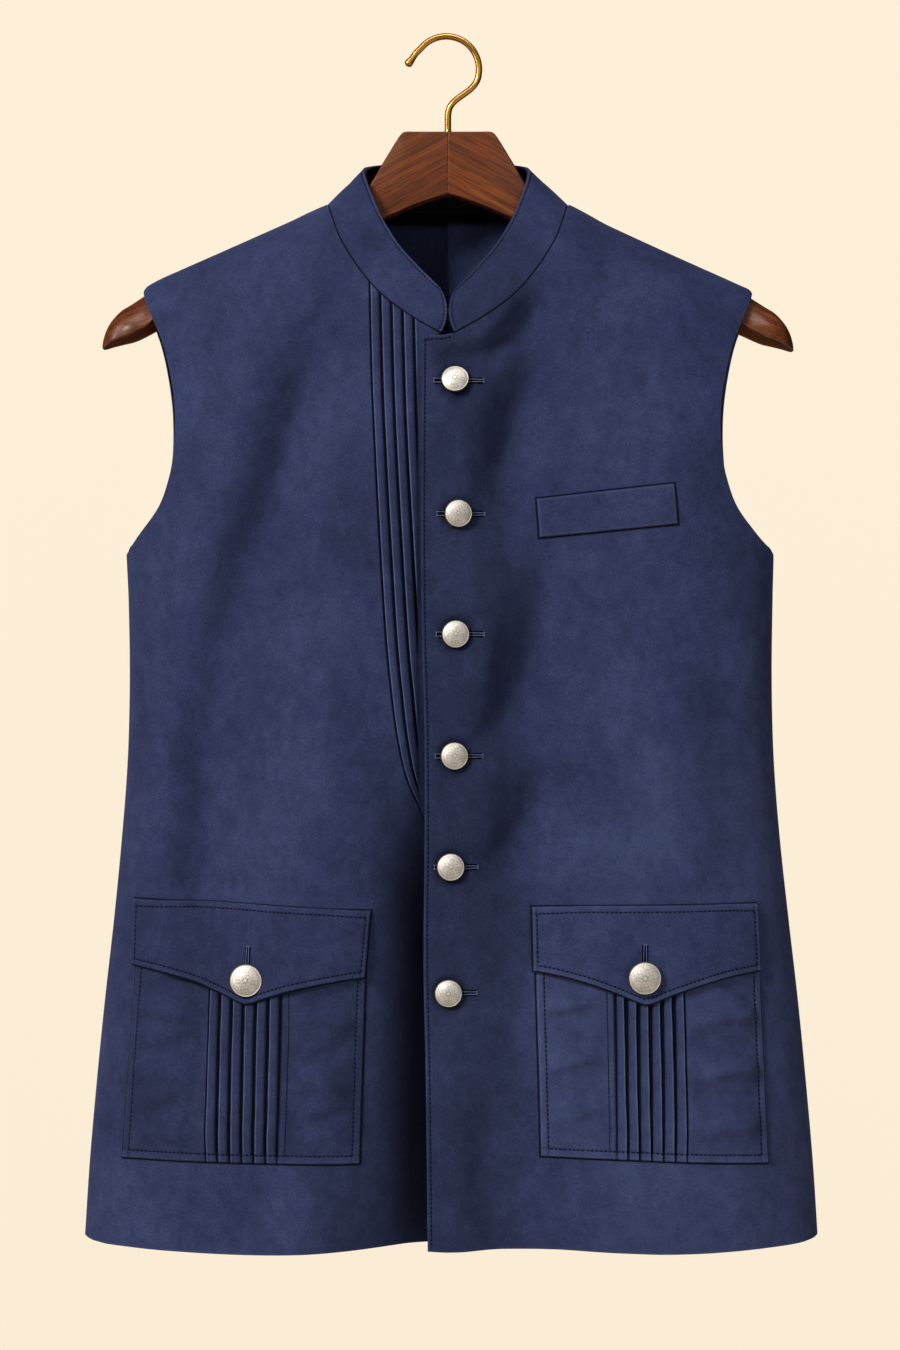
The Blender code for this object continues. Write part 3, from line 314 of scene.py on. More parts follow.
def uneven(x, z, layer):
    """A slow noise, the same every run."""
    total = np.zeros(x.size)
    for across, down, height in UNDULATION:
        places = zip((x / across).ravel(), (z / down).ravel())
        total += height * np.array([noise.noise(Vector((a, b, layer + height))) for a, b in places])
    return total.reshape(x.shape)


def ridge_height(x):
    """The shoulder line, with the corner at its end rounded."""
    corner = np.clip((np.abs(x) - CORNER_START) / CORNER_RUN, 0.0, 1.0)
    return sided(RIDGE, x, np.abs(x)) - CORNER_DROP * corner**2


def depth(x, z, face):
    """How far the cloth stands from the plane of the side seams."""
    across = oval(np.minimum(1.0, np.abs(x) / sided(BODY, x, z)), OVAL_POWER)
    over = oval(1 - np.clip((ridge_height(x) - z) / SHOULDER_ROUND, 0.0, 1.0), SHOULDER_POWER)
    if face == "front":
        folded = falls(MAIN_FRONT, x, z) * ease((np.abs(x) - LAP_STIFF) / (LAP_FREE - LAP_STIFF))
        folded = folded + creases(FINE_FRONT, x, z) + uneven(x, z, FRONT_LAYER)
    else:
        folded = falls(MAIN_BACK, x, z) + creases(FINE_BACK, x, z) + uneven(x, z, BACK_LAYER)
    folded = folded * ease(across * SIDE_FADE) * ease((over - SHOULDER_FADE[0]) / SHOULDER_FADE[1])
    return read(DEPTH, z, 1 if face == "front" else 2) * across * over + folded


def on_body(x, z, face, shift=0.0):
    """The cloth's outer points over places x and z, moved out of the body by shift."""
    x, z = np.broadcast_arrays(np.asarray(x, float), np.asarray(z, float))
    y = depth(x, z, face)
    y = np.maximum(y + shift * ease(y / 20.0), SEAM_HALF_GAP)
    return np.stack([x, -y if face == "front" else y, z], axis=-1)


LAP_LIFT = 1.3           # half of what the left front stands off the right one
LAP_REACH, LAP_FADE = 60.0, 35.0
PAST_LAP = 3.0           # the right front starts to fall back this far under the left one's edge


def lap(x, z, side):
    """The left front lies on the right one near the centre front, and the right one falls back beside it."""
    x, z = np.asarray(x, float), np.asarray(z, float)
    share = ease((LAP_REACH - SIDES[side] * x) / LAP_FADE)
    if side == "left":
        return LAP_LIFT * share
    edge = read(LEFT_EDGE, z) + PAST_LAP
    near = np.clip((x - edge) / read(TURN_IN, z, 2) + 1, 0.0, 1.0)
    return -LAP_LIFT * share - read(TURN_IN, z) * near**TURN_POWER


def over_front(x, z, lift, shift=None):
    """Points over the front, moved out along its normals, and those normals."""
    x, z = np.asarray(x, float), np.asarray(z, float)
    step = 2.0
    if shift is None:
        shift = np.where(x > 0, lap(x, z, "left"), lap(x, z, "right"))
    right, left, high, low = (
        on_body(x + a * step, z + b * step, "front")[..., 1] for a, b in ((-1, 0), (1, 0), (0, 1), (0, -1))
    )
    out = unit(np.stack([(left - right) / (2 * step), -np.ones_like(x), (high - low) / (2 * step)], axis=-1))
    return on_body(x, z, "front", shift) + out * np.asarray(lift)[..., None], out


print("chest stands out, in mm:", round(float(depth(np.array([100.0]), np.array([-400.0]), "front")[0]), 1))

# %% [markdown]
# ## A sheet of cloth
# A cut piece of cloth is a grid of points with two skins, an outer one and a lining, closed round its
# rim. The grid could be left flat and draped by a simulation, but a tailored piece keeps the form it was
# pressed to, so its points are placed. Its edges are rolled: a seam dips into a groove, and a turned edge
# keeps a worn line.

# %% The sheet
EDGE_KINDS = {"seam": (0.55, 0.8), "turned": (0.4, 0.6)}  # how deep an edge is rolled under, over what width
SEAM_TONE, SEAM_WIDTH = 1.1, 0.5
WORN_TONE, WORN_INSET, WORN_WIDTH = 0.18, 0.5, 0.7
# A topstitch's groove is painted darker as shade, and the border outside it a little paler.
GROOVE_DEPTH, GROOVE_SHADE, GROOVE_WIDTH = 0.45, 0.15, 0.6     # along a topstitch
BORDER_TONE, BORDER_RUN = 0.07, 0.8                           # between a topstitch and its edge
FORWARD, BACKWARD = (0, -1, 0), (0, 1, 0)


class Sheet:
    """Rows and columns of outer points in millimetres, with what is done to each edge."""

    def __init__(self, points, facing):
        self.points = np.asarray(points, float)
        rows, columns = self.points.shape[:2]
        u = np.linalg.norm(np.diff(self.points, axis=1), axis=2).cumsum(axis=1)
        v = np.linalg.norm(np.diff(self.points, axis=0), axis=2).cumsum(axis=0)
        self.u = np.hstack([np.zeros((rows, 1)), u])
        self.v = np.vstack([np.zeros((1, columns)), v])
        self.away = {"first column": self.u, "last column": self.u[:, -1:] - self.u}
        self.away.update({"first row": self.v, "last row": self.v[-1:] - self.v})
        normals = unit(np.cross(np.gradient(self.points, axis=1), np.gradient(self.points, axis=0)))
        middle = normals[rows // 2, columns // 3]
        self.normals = normals * (1.0 if middle @ np.asarray(facing, float) > 0 else -1.0)
        self.lift = np.zeros((rows, columns))
        self.tone = np.zeros((rows, columns))

    def edge(self, name, kind, inset=0.0, border=0.25, only=1.0):
        """Rolls an edge; a topstitched one gets a groove at the inset, painted darker as shade, and a fuller
        border outside it.
        """
        away = self.away[name]
        roll, width = EDGE_KINDS[kind]
        self.lift -= only * roll * np.clip(1 - away / width, 0, 1) ** 2
        if kind == "seam":
            self.tone -= only * SEAM_TONE * bell(away / SEAM_WIDTH)
        else:
            self.tone += only * WORN_TONE * bell((away - WORN_INSET) / WORN_WIDTH)
        if inset:
            groove = bell((away - inset) / GROOVE_WIDTH)
            outside = ease((inset - 0.1 - away) / BORDER_RUN)
            self.lift += only * (border * outside - GROOVE_DEPTH * groove)
            self.tone += only * (BORDER_TONE * outside - GROOVE_SHADE * groove)

    def settle(self):
        """Moves the points by the lift that the edges and creases have added up."""
        self.points = self.points + self.normals * self.lift[..., None]

    def line(self, name, inset, trims):
        """Points and normals at an inset from an edge, leaving out what is near the edges in trims."""
        by_row = "column" in name
        away = self.away[name]
        found = []
        for i in range(away.shape[0] if by_row else away.shape[1]):
            take = (i, slice(None)) if by_row else (slice(None), i)
            order = np.argsort(away[take])
            ranks = away[take][order]
            if ranks[-1] < inset:
                continue
            fields = [self.points[take], self.normals[take]]
            fields += [self.away[trim][take][:, None] for trim in trims]
            stacked = np.hstack(fields)[order]
            row = np.array([np.interp(inset, ranks, stacked[:, k]) for k in range(stacked.shape[1])])
            if all(row[6 + k] >= least - 0.01 for k, least in enumerate(trims.values())):
                found.append(row[:6])
        found = np.array(found)
        return found[:, :3], found[:, 3:6]
print("edges, with the depth and the width of their roll:", EDGE_KINDS)

# %% [markdown]
# ## Closing a sheet
# Cloth is thin but not flat, and its turned edges show their thickness. A solidify modifier could add it,
# but two skins placed one by one let the lining lie where the cloth below leaves it room, and give the
# inside its own finish. The wall keeps the real lengths along the cloth as its UV map, so that the weave
# is never stretched.

# %% Cloth walls
def grid_faces(grid):
    """The point numbers of a grid, and the four that each of its cells joins."""
    at = np.arange(grid.shape[0] * grid.shape[1]).reshape(grid.shape[:2])
    return at, np.stack([at[:-1, :-1], at[:-1, 1:], at[1:, 1:], at[1:, :-1]], axis=-1).reshape(-1, 4)


def new_piece(name, points, faces, finishes):
    """A mesh over points in millimetres, put in the scene."""
    mesh = bpy.data.meshes.new(name)
    mesh.from_pydata((points.reshape(-1, 3) * MM).tolist(), [], faces)
    for finish in finishes:
        mesh.materials.append(finish)
    piece = bpy.data.objects.new(name, mesh)
    bpy.context.scene.collection.objects.link(piece)
    return piece


def cloth_wall(name, outer, inner, sheet, finishes, under_tone=None):
    """A closed wall between two grids, with the sheet's real lengths as its UV map and its tone kept: wear,
    seams and painted light.
    """
    at, quads = grid_faces(outer)
    count = at.size
    ring = np.concatenate([at[0, :], at[1:, -1], at[-1, -2::-1], at[-2:0:-1, 0]])
    following = np.roll(ring, -1)
    rim = np.stack([following, ring, ring + count, following + count], axis=-1)
    faces = np.vstack([quads, quads[:, ::-1] + count, rim])
    corner = outer[0, 0]
    if np.cross(outer[0, 1] - corner, outer[1, 0] - corner) @ (corner - inner[0, 0]) < 0:
        faces = faces[:, ::-1]
    piece = new_piece(name, np.stack([outer, inner]), faces.tolist(), finishes)
    mesh = piece.data
    lengths = np.stack([np.tile(sheet.u.ravel(), 2), np.tile(sheet.v.ravel(), 2)], axis=-1) * MM
    loops = np.empty(len(mesh.loops), np.int32)
    mesh.loops.foreach_get("vertex_index", loops)
    mesh.uv_layers.new(name="cloth").data.foreach_set("uv", lengths[loops].ravel())
    below = sheet.tone if under_tone is None else under_tone + 0 * sheet.tone
    tones = np.concatenate([sheet.tone.ravel(), below.ravel()])
    mesh.attributes.new("wear_seam_and_painted_light", "FLOAT", "POINT").data.foreach_set("value", tones)
    lined = np.zeros(len(faces), np.int32)
    lined[len(quads):2 * len(quads)] = len(finishes) - 1
    mesh.polygons.foreach_set("material_index", lined)
    mesh.polygons.foreach_set("use_smooth", np.ones(len(faces), bool))
    mesh.set_sharp_from_angle(angle=math.radians(62))
    mesh.update()
    crossed = np.cross(outer[1:, 1:] - outer[:-1, :-1], outer[1:, :-1] - outer[:-1, 1:])
    print(f"{name}: {len(faces)} faces, {np.linalg.norm(crossed, axis=-1).sum() / 2e6:.4f} m2 of cloth")
    return piece


def take_place(piece, slot, *nodes):
    """The piece rides on the root body, in place of its nodes; its slot is not used."""
    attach(piece, "root")
    if nodes:
        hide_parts(*nodes)
    return piece


# %% [markdown]
# ## Short calls for nodes
# A finish is a tree of nodes. Each node could be made and linked line by line, but most finishes here are
# built from the same few: a noise, a ramp of colours, sums and a bump. So each gets a short call.

# %% Node helpers
class Nodes:
    """Short calls for the nodes of a tree."""

    def __init__(self, tree):
        self.tree = tree
        self.places = tree.nodes.new("ShaderNodeTexCoord").outputs

    def node(self, kind, links, **settings):
        made = self.tree.nodes.new(kind)
        for key, value in settings.items():
            setattr(made, key, value)
        for socket, value in links.items():
            if isinstance(value, bpy.types.NodeSocket):
                self.tree.links.new(value, made.inputs[socket])
            else:
                made.inputs[socket].default_value = value
        return made

    def mapped(self, output, scale, turn=(0, 0, 0)):
        """Places turned first and then stretched, so that a grain can run along a sloping bar."""
        turned = self.node("ShaderNodeMapping", {"Vector": self.places[output], "Rotation": turn})
        stretched = self.node("ShaderNodeMapping", {"Vector": turned.outputs[0], "Scale": scale})
        return stretched.outputs[0]

    def noise(self, vector, *values):
        links = dict(zip(("Scale", "Detail", "Roughness", "Distortion"), values))
        return self.node("ShaderNodeTexNoise", {"Vector": vector, **links}).outputs["Fac"]

    def attribute(self, name):
        return self.node("ShaderNodeAttribute", {}, attribute_name=name).outputs["Fac"]

    def spread(self, value, *ends):
        """A value between the first two ends moved to between the last two."""
        links = dict(zip(("From Min", "From Max", "To Min", "To Max"), ends))
        return self.node("ShaderNodeMapRange", {"Value": value, **links}).outputs[0]

    def ramp(self, value, stops):
        made = self.node("ShaderNodeValToRGB", {"Fac": value})
        band = made.color_ramp
        while len(band.elements) < len(stops):
            band.elements.new(0.5)
        for element, (place, colour) in zip(band.elements, stops):
            element.position = place
            element.color = (*colour, 1.0)
        return made.outputs["Color"]

    def maths(self, operation, a, b):
        return self.node("ShaderNodeMath", {0: a, 1: b}, operation=operation).outputs[0]

    def held(self, value, low, high):
        return self.maths("MINIMUM", self.maths("MAXIMUM", value, low), high)

    def blend(self, *parts):
        """A sum of values, each with its share."""
        shares = [self.maths("MULTIPLY", value, share) for value, share in parts]
        total = shares[0]
        for share in shares[1:]:
            total = self.maths("ADD", total, share)
        return total

    def mix(self, share, a, b):
        ends = [end if isinstance(end, bpy.types.NodeSocket) else (*end, 1.0) for end in (a, b)]
        return self.node("ShaderNodeMix", {0: share, 6: ends[0], 7: ends[1]}, data_type="RGBA").outputs[2]


class Finish(Nodes):
    """A material with its Principled shader, whose named sockets are set as the finish needs."""

    def __init__(self, name, roughness, metallic=0.0, **sockets):
        self.material = bpy.data.materials.new(name)
        self.material.use_nodes = True
        super().__init__(self.material.node_tree)
        self.shader = self.tree.nodes["Principled BSDF"]
        sockets.update({"Roughness": roughness, "Metallic": metallic})
        for socket, value in sockets.items():
            self.shader.inputs[socket.replace("_", " ")].default_value = value

    def shadow(self, most):
        """How much darker the cloth is where its tone is below nought: seams, and painted shade."""
        return self.held(self.maths("MULTIPLY", self.attribute("wear_seam_and_painted_light"), -1.0), 0.0, most)

    def colour(self, output):
        self.tree.links.new(output, self.shader.inputs["Base Color"])

    def rough(self, output):
        self.tree.links.new(output, self.shader.inputs["Roughness"])

    def bump(self, layers):
        """Stacks heights, each with its strength and its depth in metres."""
        normal = None
        for height, strength, distance in layers:
            links = {"Height": height, "Strength": strength, "Distance": distance}
            if normal is not None:
                links["Normal"] = normal
            normal = self.node("ShaderNodeBump", links).outputs["Normal"]
        self.tree.links.new(normal, self.shader.inputs["Normal"])


def linear(red, green, blue):
    """A colour as it is seen on a screen, made linear."""
    shares = [channel / 255 for channel in (red, green, blue)]
    return tuple(c / 12.92 if c <= 0.04045 else ((c + 0.055) / 1.055) ** 2.4 for c in shares)


# %% [markdown]
# ## Finishes
# The jacket is navy cotton with a brushed nap. A picture of cloth could be wrapped round it, but nodes
# keep it sharp at any distance: a slow noise clouds the dye, a middle one lays the nap this way and that,
# and a fine one is the grain, while the weave and the grain also raise a little bump. The tone that
# each sheet carries makes worn edges paler and seams darker, and it also holds painted light: painted
# shade in tuck gaps, beside the lap, round buttons and under sewn pieces, and painted highlights on folds.

# %% Brushed cotton, its lining and its thread
NAVY_DEEP, NAVY, NAVY_PALE = linear(38, 44, 74), linear(51, 59, 95), linear(68, 78, 120)
NAVY_WORN_AND_LIT = linear(98, 112, 158)
NAVY_SHADE = linear(7, 9, 17)


def brushed_cotton():
    made = Finish("brushed navy cotton", 0.9, Specular_IOR_Level=0.06, Sheen_Weight=0.1, Sheen_Roughness=0.45)
    made.shader.inputs["Sheen Tint"].default_value = (*linear(150, 168, 220), 1.0)
    clouds = made.noise(made.mapped("Object", (20, 20, 13)), 1.0, 4.0, 0.55)
    nap = made.noise(made.mapped("Object", (110, 110, 80)), 1.0, 5.0, 0.68)
    grain = made.noise(made.places["Object"], 1200.0, 2.0, 0.6)
    tones = made.blend((clouds, 0.32), (nap, 0.28), (grain, 0.40))
    dyed = made.ramp(tones, [(0.36, NAVY_DEEP), (0.5, NAVY), (0.66, NAVY_PALE)])
    # Above nought the tone pales the cloth: wear on turned edges, painted highlights on tuck folds and
    # painted light on some pieces. Below nought it darkens the cloth: seams and painted shade.
    wear_and_highlight = made.held(made.attribute("wear_seam_and_painted_light"), 0.0, 1.0)
    wear_and_highlight = made.maths("MULTIPLY", wear_and_highlight, made.maths("ADD", nap, 0.3))
    made.colour(made.mix(made.shadow(0.96), made.mix(wear_and_highlight, dyed, NAVY_WORN_AND_LIT), NAVY_SHADE))
    threads = {"Vector": made.places["UV"], "Scale": 620.0, "Distortion": 0.6, "Detail": 1.0}
    weave = made.node("ShaderNodeTexWave", threads, bands_direction="DIAGONAL").outputs["Fac"]
    made.bump([(clouds, 0.3, 0.003), (nap, 0.3, 0.001), (weave, 0.3, 0.00012), (grain, 0.5, 0.0003)])
    return made.material


def lining_cloth():
    made = Finish("navy lining", 0.75, Specular_IOR_Level=0.04)
    threads = made.noise(made.mapped("UV", (1, 0.06, 1)), 1500.0, 2.0)
    clouds = made.noise(made.places["Object"], 24.0, 3.0)
    tones = made.blend((clouds, 0.6), (threads, 0.4))
    woven = made.ramp(tones, [(0.38, linear(60, 68, 108)), (0.62, linear(84, 94, 142))])
    # Below nought the tone darkens the lining as painted shade inside the neck.
    made.colour(made.mix(made.shadow(0.985), woven, linear(3, 4, 9)))
    made.bump([(clouds, 0.3, 0.002), (threads, 0.3, 0.0002)])
    return made.material


def thread(name, dark, pale):
    made = Finish(name, 0.85, Specular_IOR_Level=0.05)
    twist = made.noise(made.places["Object"], 2600.0, 2.0)
    made.colour(made.ramp(twist, [(0.4, dark), (0.62, pale)]))
    made.bump([(twist, 0.5, 0.0001)])
    return made.material


COTTON = brushed_cotton()
LINING = lining_cloth()
THREAD = thread("navy topstitch thread", linear(12, 15, 28), linear(24, 28, 50))
CORD_THREAD = thread("buttonhole silk", linear(84, 96, 142), linear(122, 134, 176))
SLIT_SHADE = thread("buttonhole slit shade", linear(4, 5, 12), linear(9, 11, 22))
print("cloth finishes:", [finish.name for finish in (COTTON, LINING, THREAD, CORD_THREAD, SLIT_SHADE)])

# %% [markdown]
# ## Wood and metal
# The hanger is oiled walnut. Its two arms are cut along the grain and mitred, so the grain runs down each
# arm: the pattern is turned for each side and stretched along it. The hook is lacquered brass, and the
# buttons are cast in an antique silver finish, dark where the cast pattern is low.

# %% Walnut, brass and antique silver
WALNUT_TONES = [
    (0.38, linear(78, 34, 10)), (0.46, linear(102, 47, 14)), (0.55, linear(118, 57, 18)),
    (0.66, linear(144, 76, 28)),
]
SILVER_TONES = [
    (0.16, linear(40, 37, 35)), (0.32, linear(132, 126, 117)), (0.46, linear(178, 172, 165)),
    (0.7, linear(202, 198, 192)),
]


def walnut(side):
    made = Finish(f"walnut {side} arm", 0.42, Coat_Weight=0.26, Coat_Roughness=0.26, Specular_IOR_Level=0.12)
    turn = (0.0, math.radians(-28.0 * SIDES[side]), 0.0)
    figure = made.noise(made.mapped("Object", (6, 90, 130), turn), 1.6, 4.0, 0.6, 0.5)
    streaks = made.noise(made.mapped("Object", (9, 400, 600), turn), 1.0, 4.0, 0.6, 0.3)
    pores = made.noise(made.mapped("Object", (45, 1000, 1400), turn), 1.0, 2.0, 0.5)
    wood = made.ramp(made.blend((figure, 0.6), (streaks, 0.4)), WALNUT_TONES)
    specks = made.ramp(pores, [(0.36, (1, 1, 1)), (0.47, (0, 0, 0))])
    made.colour(made.mix(made.maths("MULTIPLY", specks, 0.65), wood, linear(50, 26, 12)))
    made.bump([(streaks, 0.1, 0.0004), (pores, 0.15, 0.00015)])
    return made.material


def brass():
    made = Finish("lacquered brass", 0.26, 1.0, Coat_Weight=0.5, Coat_Roughness=0.16)
    haze = made.noise(made.places["Object"], 40.0, 2.0)
    made.colour(made.ramp(haze, [(0.35, linear(158, 110, 36)), (0.65, linear(170, 122, 46))]))
    made.rough(made.spread(haze, 0.0, 1.0, 0.22, 0.3))
    return made.material


def antique_silver():
    made = Finish("antique silver", 0.5, 0.75)
    pits = made.noise(made.places["Object"], 1500.0, 3.0, 0.6)
    tarnish = made.noise(made.places["Object"], 320.0, 3.0, 0.6)
    metal = made.ramp(made.blend((made.attribute("relief"), 0.6), (pits, 0.4)), SILVER_TONES)
    made.colour(made.mix(made.maths("MULTIPLY", tarnish, 0.16), metal, linear(134, 126, 114)))
    made.rough(made.spread(pits, 0.0, 1.0, 0.42, 0.62))
    made.bump([(pits, 0.5, 0.0002)])
    return made.material


WALNUT = {side: walnut(side) for side in SIDES}
BRASS = brass()
SILVER = antique_silver()
print("hard finishes:", WALNUT["right"].name, WALNUT["left"].name, BRASS.name, SILVER.name)

# %% [markdown]
# ## Topstitching
# A topstitch is a short straight bit of thread that sinks into the cloth at both ends. A dashed line
# could be painted on, but real bits of thread catch the light, so one low-sided bit is repeated along
# each line, and the bits of a piece are joined in one mesh.

# %% Stitches
STITCH_PITCH, STITCH_LENGTH, STITCH_RADIUS = 3.0, 2.0, 0.52
STITCH_RINGS = [  # along, radius, rise
    (-0.5, 0.35, -0.04), (-0.28, 1.0, 0.19), (0.28, 1.0, 0.19), (0.5, 0.35, -0.04),
]
STITCH_SIDES = 5


def resample(points, outs, pitch):
    """Even steps along a line, with the line's direction and outward normal at each."""
    lengths = lengths_along(points)
    steps = np.arange(pitch / 2, lengths[-1], pitch)
    if len(steps) < 2:
        return np.zeros((0, 3)), np.zeros((0, 3)), np.zeros((0, 3))

    def at(values, places):
        return np.stack([np.interp(places, lengths, values[:, k]) for k in range(3)], axis=1)

    ahead = unit(at(points, steps + 0.4) - at(points, steps - 0.4))
    out = at(outs, steps)
    return at(points, steps), ahead, unit(out - ahead * (out * ahead).sum(axis=1, keepdims=True))


def select_only(piece):
    bpy.ops.object.select_all(action="DESELECT")
    piece.select_set(True)
    bpy.context.view_layer.objects.active = piece


def face_outward():
    """In edit mode, turns the faces of the whole piece outward, and goes back to object mode."""
    bpy.ops.mesh.select_all(action="SELECT")
    bpy.ops.mesh.normals_make_consistent(inside=False)
    bpy.ops.object.mode_set(mode="OBJECT")


def thread_bits(name, lines, finish, pitch=STITCH_PITCH, length=STITCH_LENGTH, radius=STITCH_RADIUS):
    """All the stitches along some lines of (points, normals) as one piece."""
    runs = [resample(*line, pitch) for line in lines]
    centres, aheads, outs = (np.concatenate(part) for part in zip(*runs))
    asides = np.cross(aheads, outs)
    rings = []
    for along, size, rise in STITCH_RINGS:
        middle = centres + aheads * along * length + outs * rise
        for angle in np.arange(STITCH_SIDES) * 2 * math.pi / STITCH_SIDES:
            rings.append(middle + (asides * math.cos(angle) + outs * math.sin(angle)) * size * radius)
    points = np.stack(rings, axis=1)
    around = np.arange(STITCH_SIDES)
    faces = [around[::-1].tolist(), (around + len(rings) - STITCH_SIDES).tolist()]
    for ring in range(len(STITCH_RINGS) - 1):
        a, b = ring * STITCH_SIDES + around, ring * STITCH_SIDES + np.roll(around, -1)
        faces += np.stack([a, b, b + STITCH_SIDES, a + STITCH_SIDES], axis=1).tolist()
    all_faces = [[n * len(rings) + i for i in face] for n in range(len(points)) for face in faces]
    piece = new_piece(name, points, all_faces, (finish,))
    select_only(piece)
    bpy.ops.object.mode_set(mode="EDIT")
    face_outward()
    piece.data.shade_smooth()
    print(f"{name}: {len(points)} stitches, {len(piece.data.polygons)} faces")
    return take_place(piece, "cloth")


# %% [markdown]
# ## Fronts and backs
# Four panels make the body: they meet at the side seams, the shoulder seams and down the middle of the
# back, and the left front laps over the right one. Each grid runs from the hem up and from the centre
# out, and it is finer where an edge is rolled or topstitched.

# %% Panel grids
PANEL_LENGTH = 640.0
ROW_STEP = 0.0062
TOP_STEPS = [
    60, 52, 45, 38, 32, 27, 22, 18, 14.5, 11.5, 9, 7.2, 5.8, 4.8, 4, 3.4, 2.8, 2.1, 1.4, 0.8, 0.35, 0,
]
EDGE_STEPS = [0.0, 0.3, 0.7, 1.2, 1.7, 2.2, 2.7, 3.1, 3.6, 4.6, 6.2, 8.4, 11.2, 14.4]
EDGE_STITCH = 2.7        # from the left front's edge to its topstitching
NECK_BEND = 71.5         # from here out the neck seam is steep, so its points lie closer
SEAM_SHADE = 0.35        # the cells at a steep seam are long, so it is shaded less
UNDERARM_CORNER = 14.0
SHOULDER_STEPS = [202.4, 204.2, 205.4, 206.1, 206.5, SHOULDER_HALF]
FRONT_BUTTONS = [(4.8, -237.3), (6.5, -325.6), (5.0, -405.3), (3.9, -485.9), (1.7, -559.2), (0.4, -642.3)]


def panel_rows(z_top, z_hem):
    rows = [0.0, 0.0005, 0.0012, 0.0026] + list(np.arange(ROW_STEP, 0.9, ROW_STEP))
    rows += [1 - step / PANEL_LENGTH for step in TOP_STEPS]
    return np.array(sorted(rows + [(UNDERARM_Z - z_hem) / (z_top - z_hem)]))


def neck_bend(step):
    return np.arange(NECK_BEND, NECK_HALF, step)


def outer_half(z, face, side):
    """Half the panel's width: to the side seam below the underarm, to the armhole above it."""
    column = 2 if side == "left" else 1
    corner = float(read(BODY, UNDERARM_Z, column)) - ARMHOLE[0][1]
    corner = corner * ease((UNDERARM_Z + UNDERARM_CORNER - z) / UNDERARM_CORNER)
    hole = read(ARMHOLE, z, 1 if face == "front" else 2) + corner
    return np.where(z <= UNDERARM_Z + 1e-6, read(BODY, z, column), hole)


def panel_sheet(x_top, z_top, centre_edge, face, side):
    """A panel's grid, from the hem up to its top points and from its centre edge out."""
    sign = SIDES[side]
    hem = FRONT_HEM if face == "front" else BACK_HEM
    x_top, z_top = np.asarray(x_top, float), np.asarray(z_top, float)
    start, low = centre_edge(z_top), np.float64(hem[0][1])
    share = (x_top - start) / (sign * outer_half(z_top, face, side) - start)
    share[-1] = 1.0          # exactly on the seam: the cloth is steep there, so a hair off it would open it
    x_hem = centre_edge(low) + share * (sign * outer_half(low, face, side) - centre_edge(low))
    z_hem = read(hem, x_hem)
    z = z_hem + panel_rows(z_top[-1], z_hem[-1])[:, None] * (z_top - z_hem)
    x = centre_edge(z) + share * (sign * outer_half(z, face, side) - centre_edge(z))
    if face == "front":
        return Sheet(on_body(x, z, face, lap(x, z, side)), FORWARD)
    return Sheet(on_body(x, z, face), BACKWARD)


def to_shoulder(neck_x, neck_z, side):
    """The top points of a panel, along the neck and then the shoulder."""
    x = SIDES[side] * np.concatenate([np.arange(NECK_HALF, 200.0, 3.2), SHOULDER_STEPS])
    return np.concatenate([neck_x, x]), np.concatenate([neck_z, ridge_height(x)])


def seam_share(sheet):
    """The neck's seam in full, and the steep shoulder's less."""
    return np.where(np.abs(sheet.points[-1, :, 0]) < NECK_HALF, 1.0, SEAM_SHADE)[None, :]


def panel_piece(name, sheet, under_tone=None):
    """Rolls the edges that every panel has and closes its wall."""
    z = sheet.points[..., 2]
    armhole = ease((z - UNDERARM_Z + 1.0) / 3.0)
    sheet.edge("last column", "turned", only=armhole)
    sheet.edge("last column", "seam", only=SEAM_SHADE * (1 - armhole))
    sheet.edge("first row", "turned")
    sheet.settle()
    lining = sheet.points - sheet.normals * CLOTH
    take_place(cloth_wall(name, sheet.points, lining, sheet, (COTTON, LINING), under_tone), "cloth", name)


# %% [markdown]
# ## The left front
# The left front carries the buttonholes, so it lies on top and its edge is topstitched. The buttons press
# it in a little with a painted shade round each, its lap is painted darker as shade, and a patch low on
# its side is painted lighter.

# %% The left front, which laps over
PRESS_DEPTH, PRESS_HALF = 0.9, 9.0       # round each button
# painted shade round each button, and over what distance it fades out
BUTTON_SHADE, BUTTON_SHADE_RUN = 0.5, 3.0
# painted shade on the lap's layers, and painted light low on the side
LAP_LAYER_SHADE, SIDE_LIGHT = 0.3, 0.1

lap_x = np.array([LAP_TOP[0][0] + step for step in EDGE_STEPS] + [0.4, 2.6])
neck_x = np.concatenate([np.arange(COLLAR_END, 71.0, 2.8), neck_bend(1.4)])
neck_z = np.concatenate([read(LAP_TOP, lap_x), read(FRONT_NECK, neck_x)])
left_x, left_z = to_shoulder(np.concatenate([lap_x, neck_x]), neck_z, "left")
left_front = panel_sheet(left_x, left_z, lambda z: read(LEFT_EDGE, z), "front", "left")
on_lap = np.clip((COLLAR_END - left_front.points[-1, :, 0]) / 2.0, 0, 1)[None, :]
x, z = left_front.points[..., 0], left_front.points[..., 2]
for button_x, button_z in FRONT_BUTTONS:
    from_button = np.hypot(x - button_x, z - button_z)
    left_front.lift -= PRESS_DEPTH * bell(from_button / PRESS_HALF)
    left_front.tone -= BUTTON_SHADE * bell(np.maximum(from_button - PRESS_HALF, 0.0) / BUTTON_SHADE_RUN)
left_front.tone -= LAP_LAYER_SHADE * ease((60.0 - x) / 25.0)
left_front.tone += SIDE_LIGHT * ease((x - 80.0) / 40.0) * ease((-450.0 - z) / 60.0)
left_front.edge("first column", "turned", EDGE_STITCH)
left_front.edge("last row", "turned", EDGE_STITCH, only=on_lap)
left_front.edge("last row", "seam", only=(1 - on_lap) * seam_share(left_front))
panel_piece("front_left", left_front)
edge_line = left_front.line("first column", EDGE_STITCH, {"last row": EDGE_STITCH, "first row": 2.0})
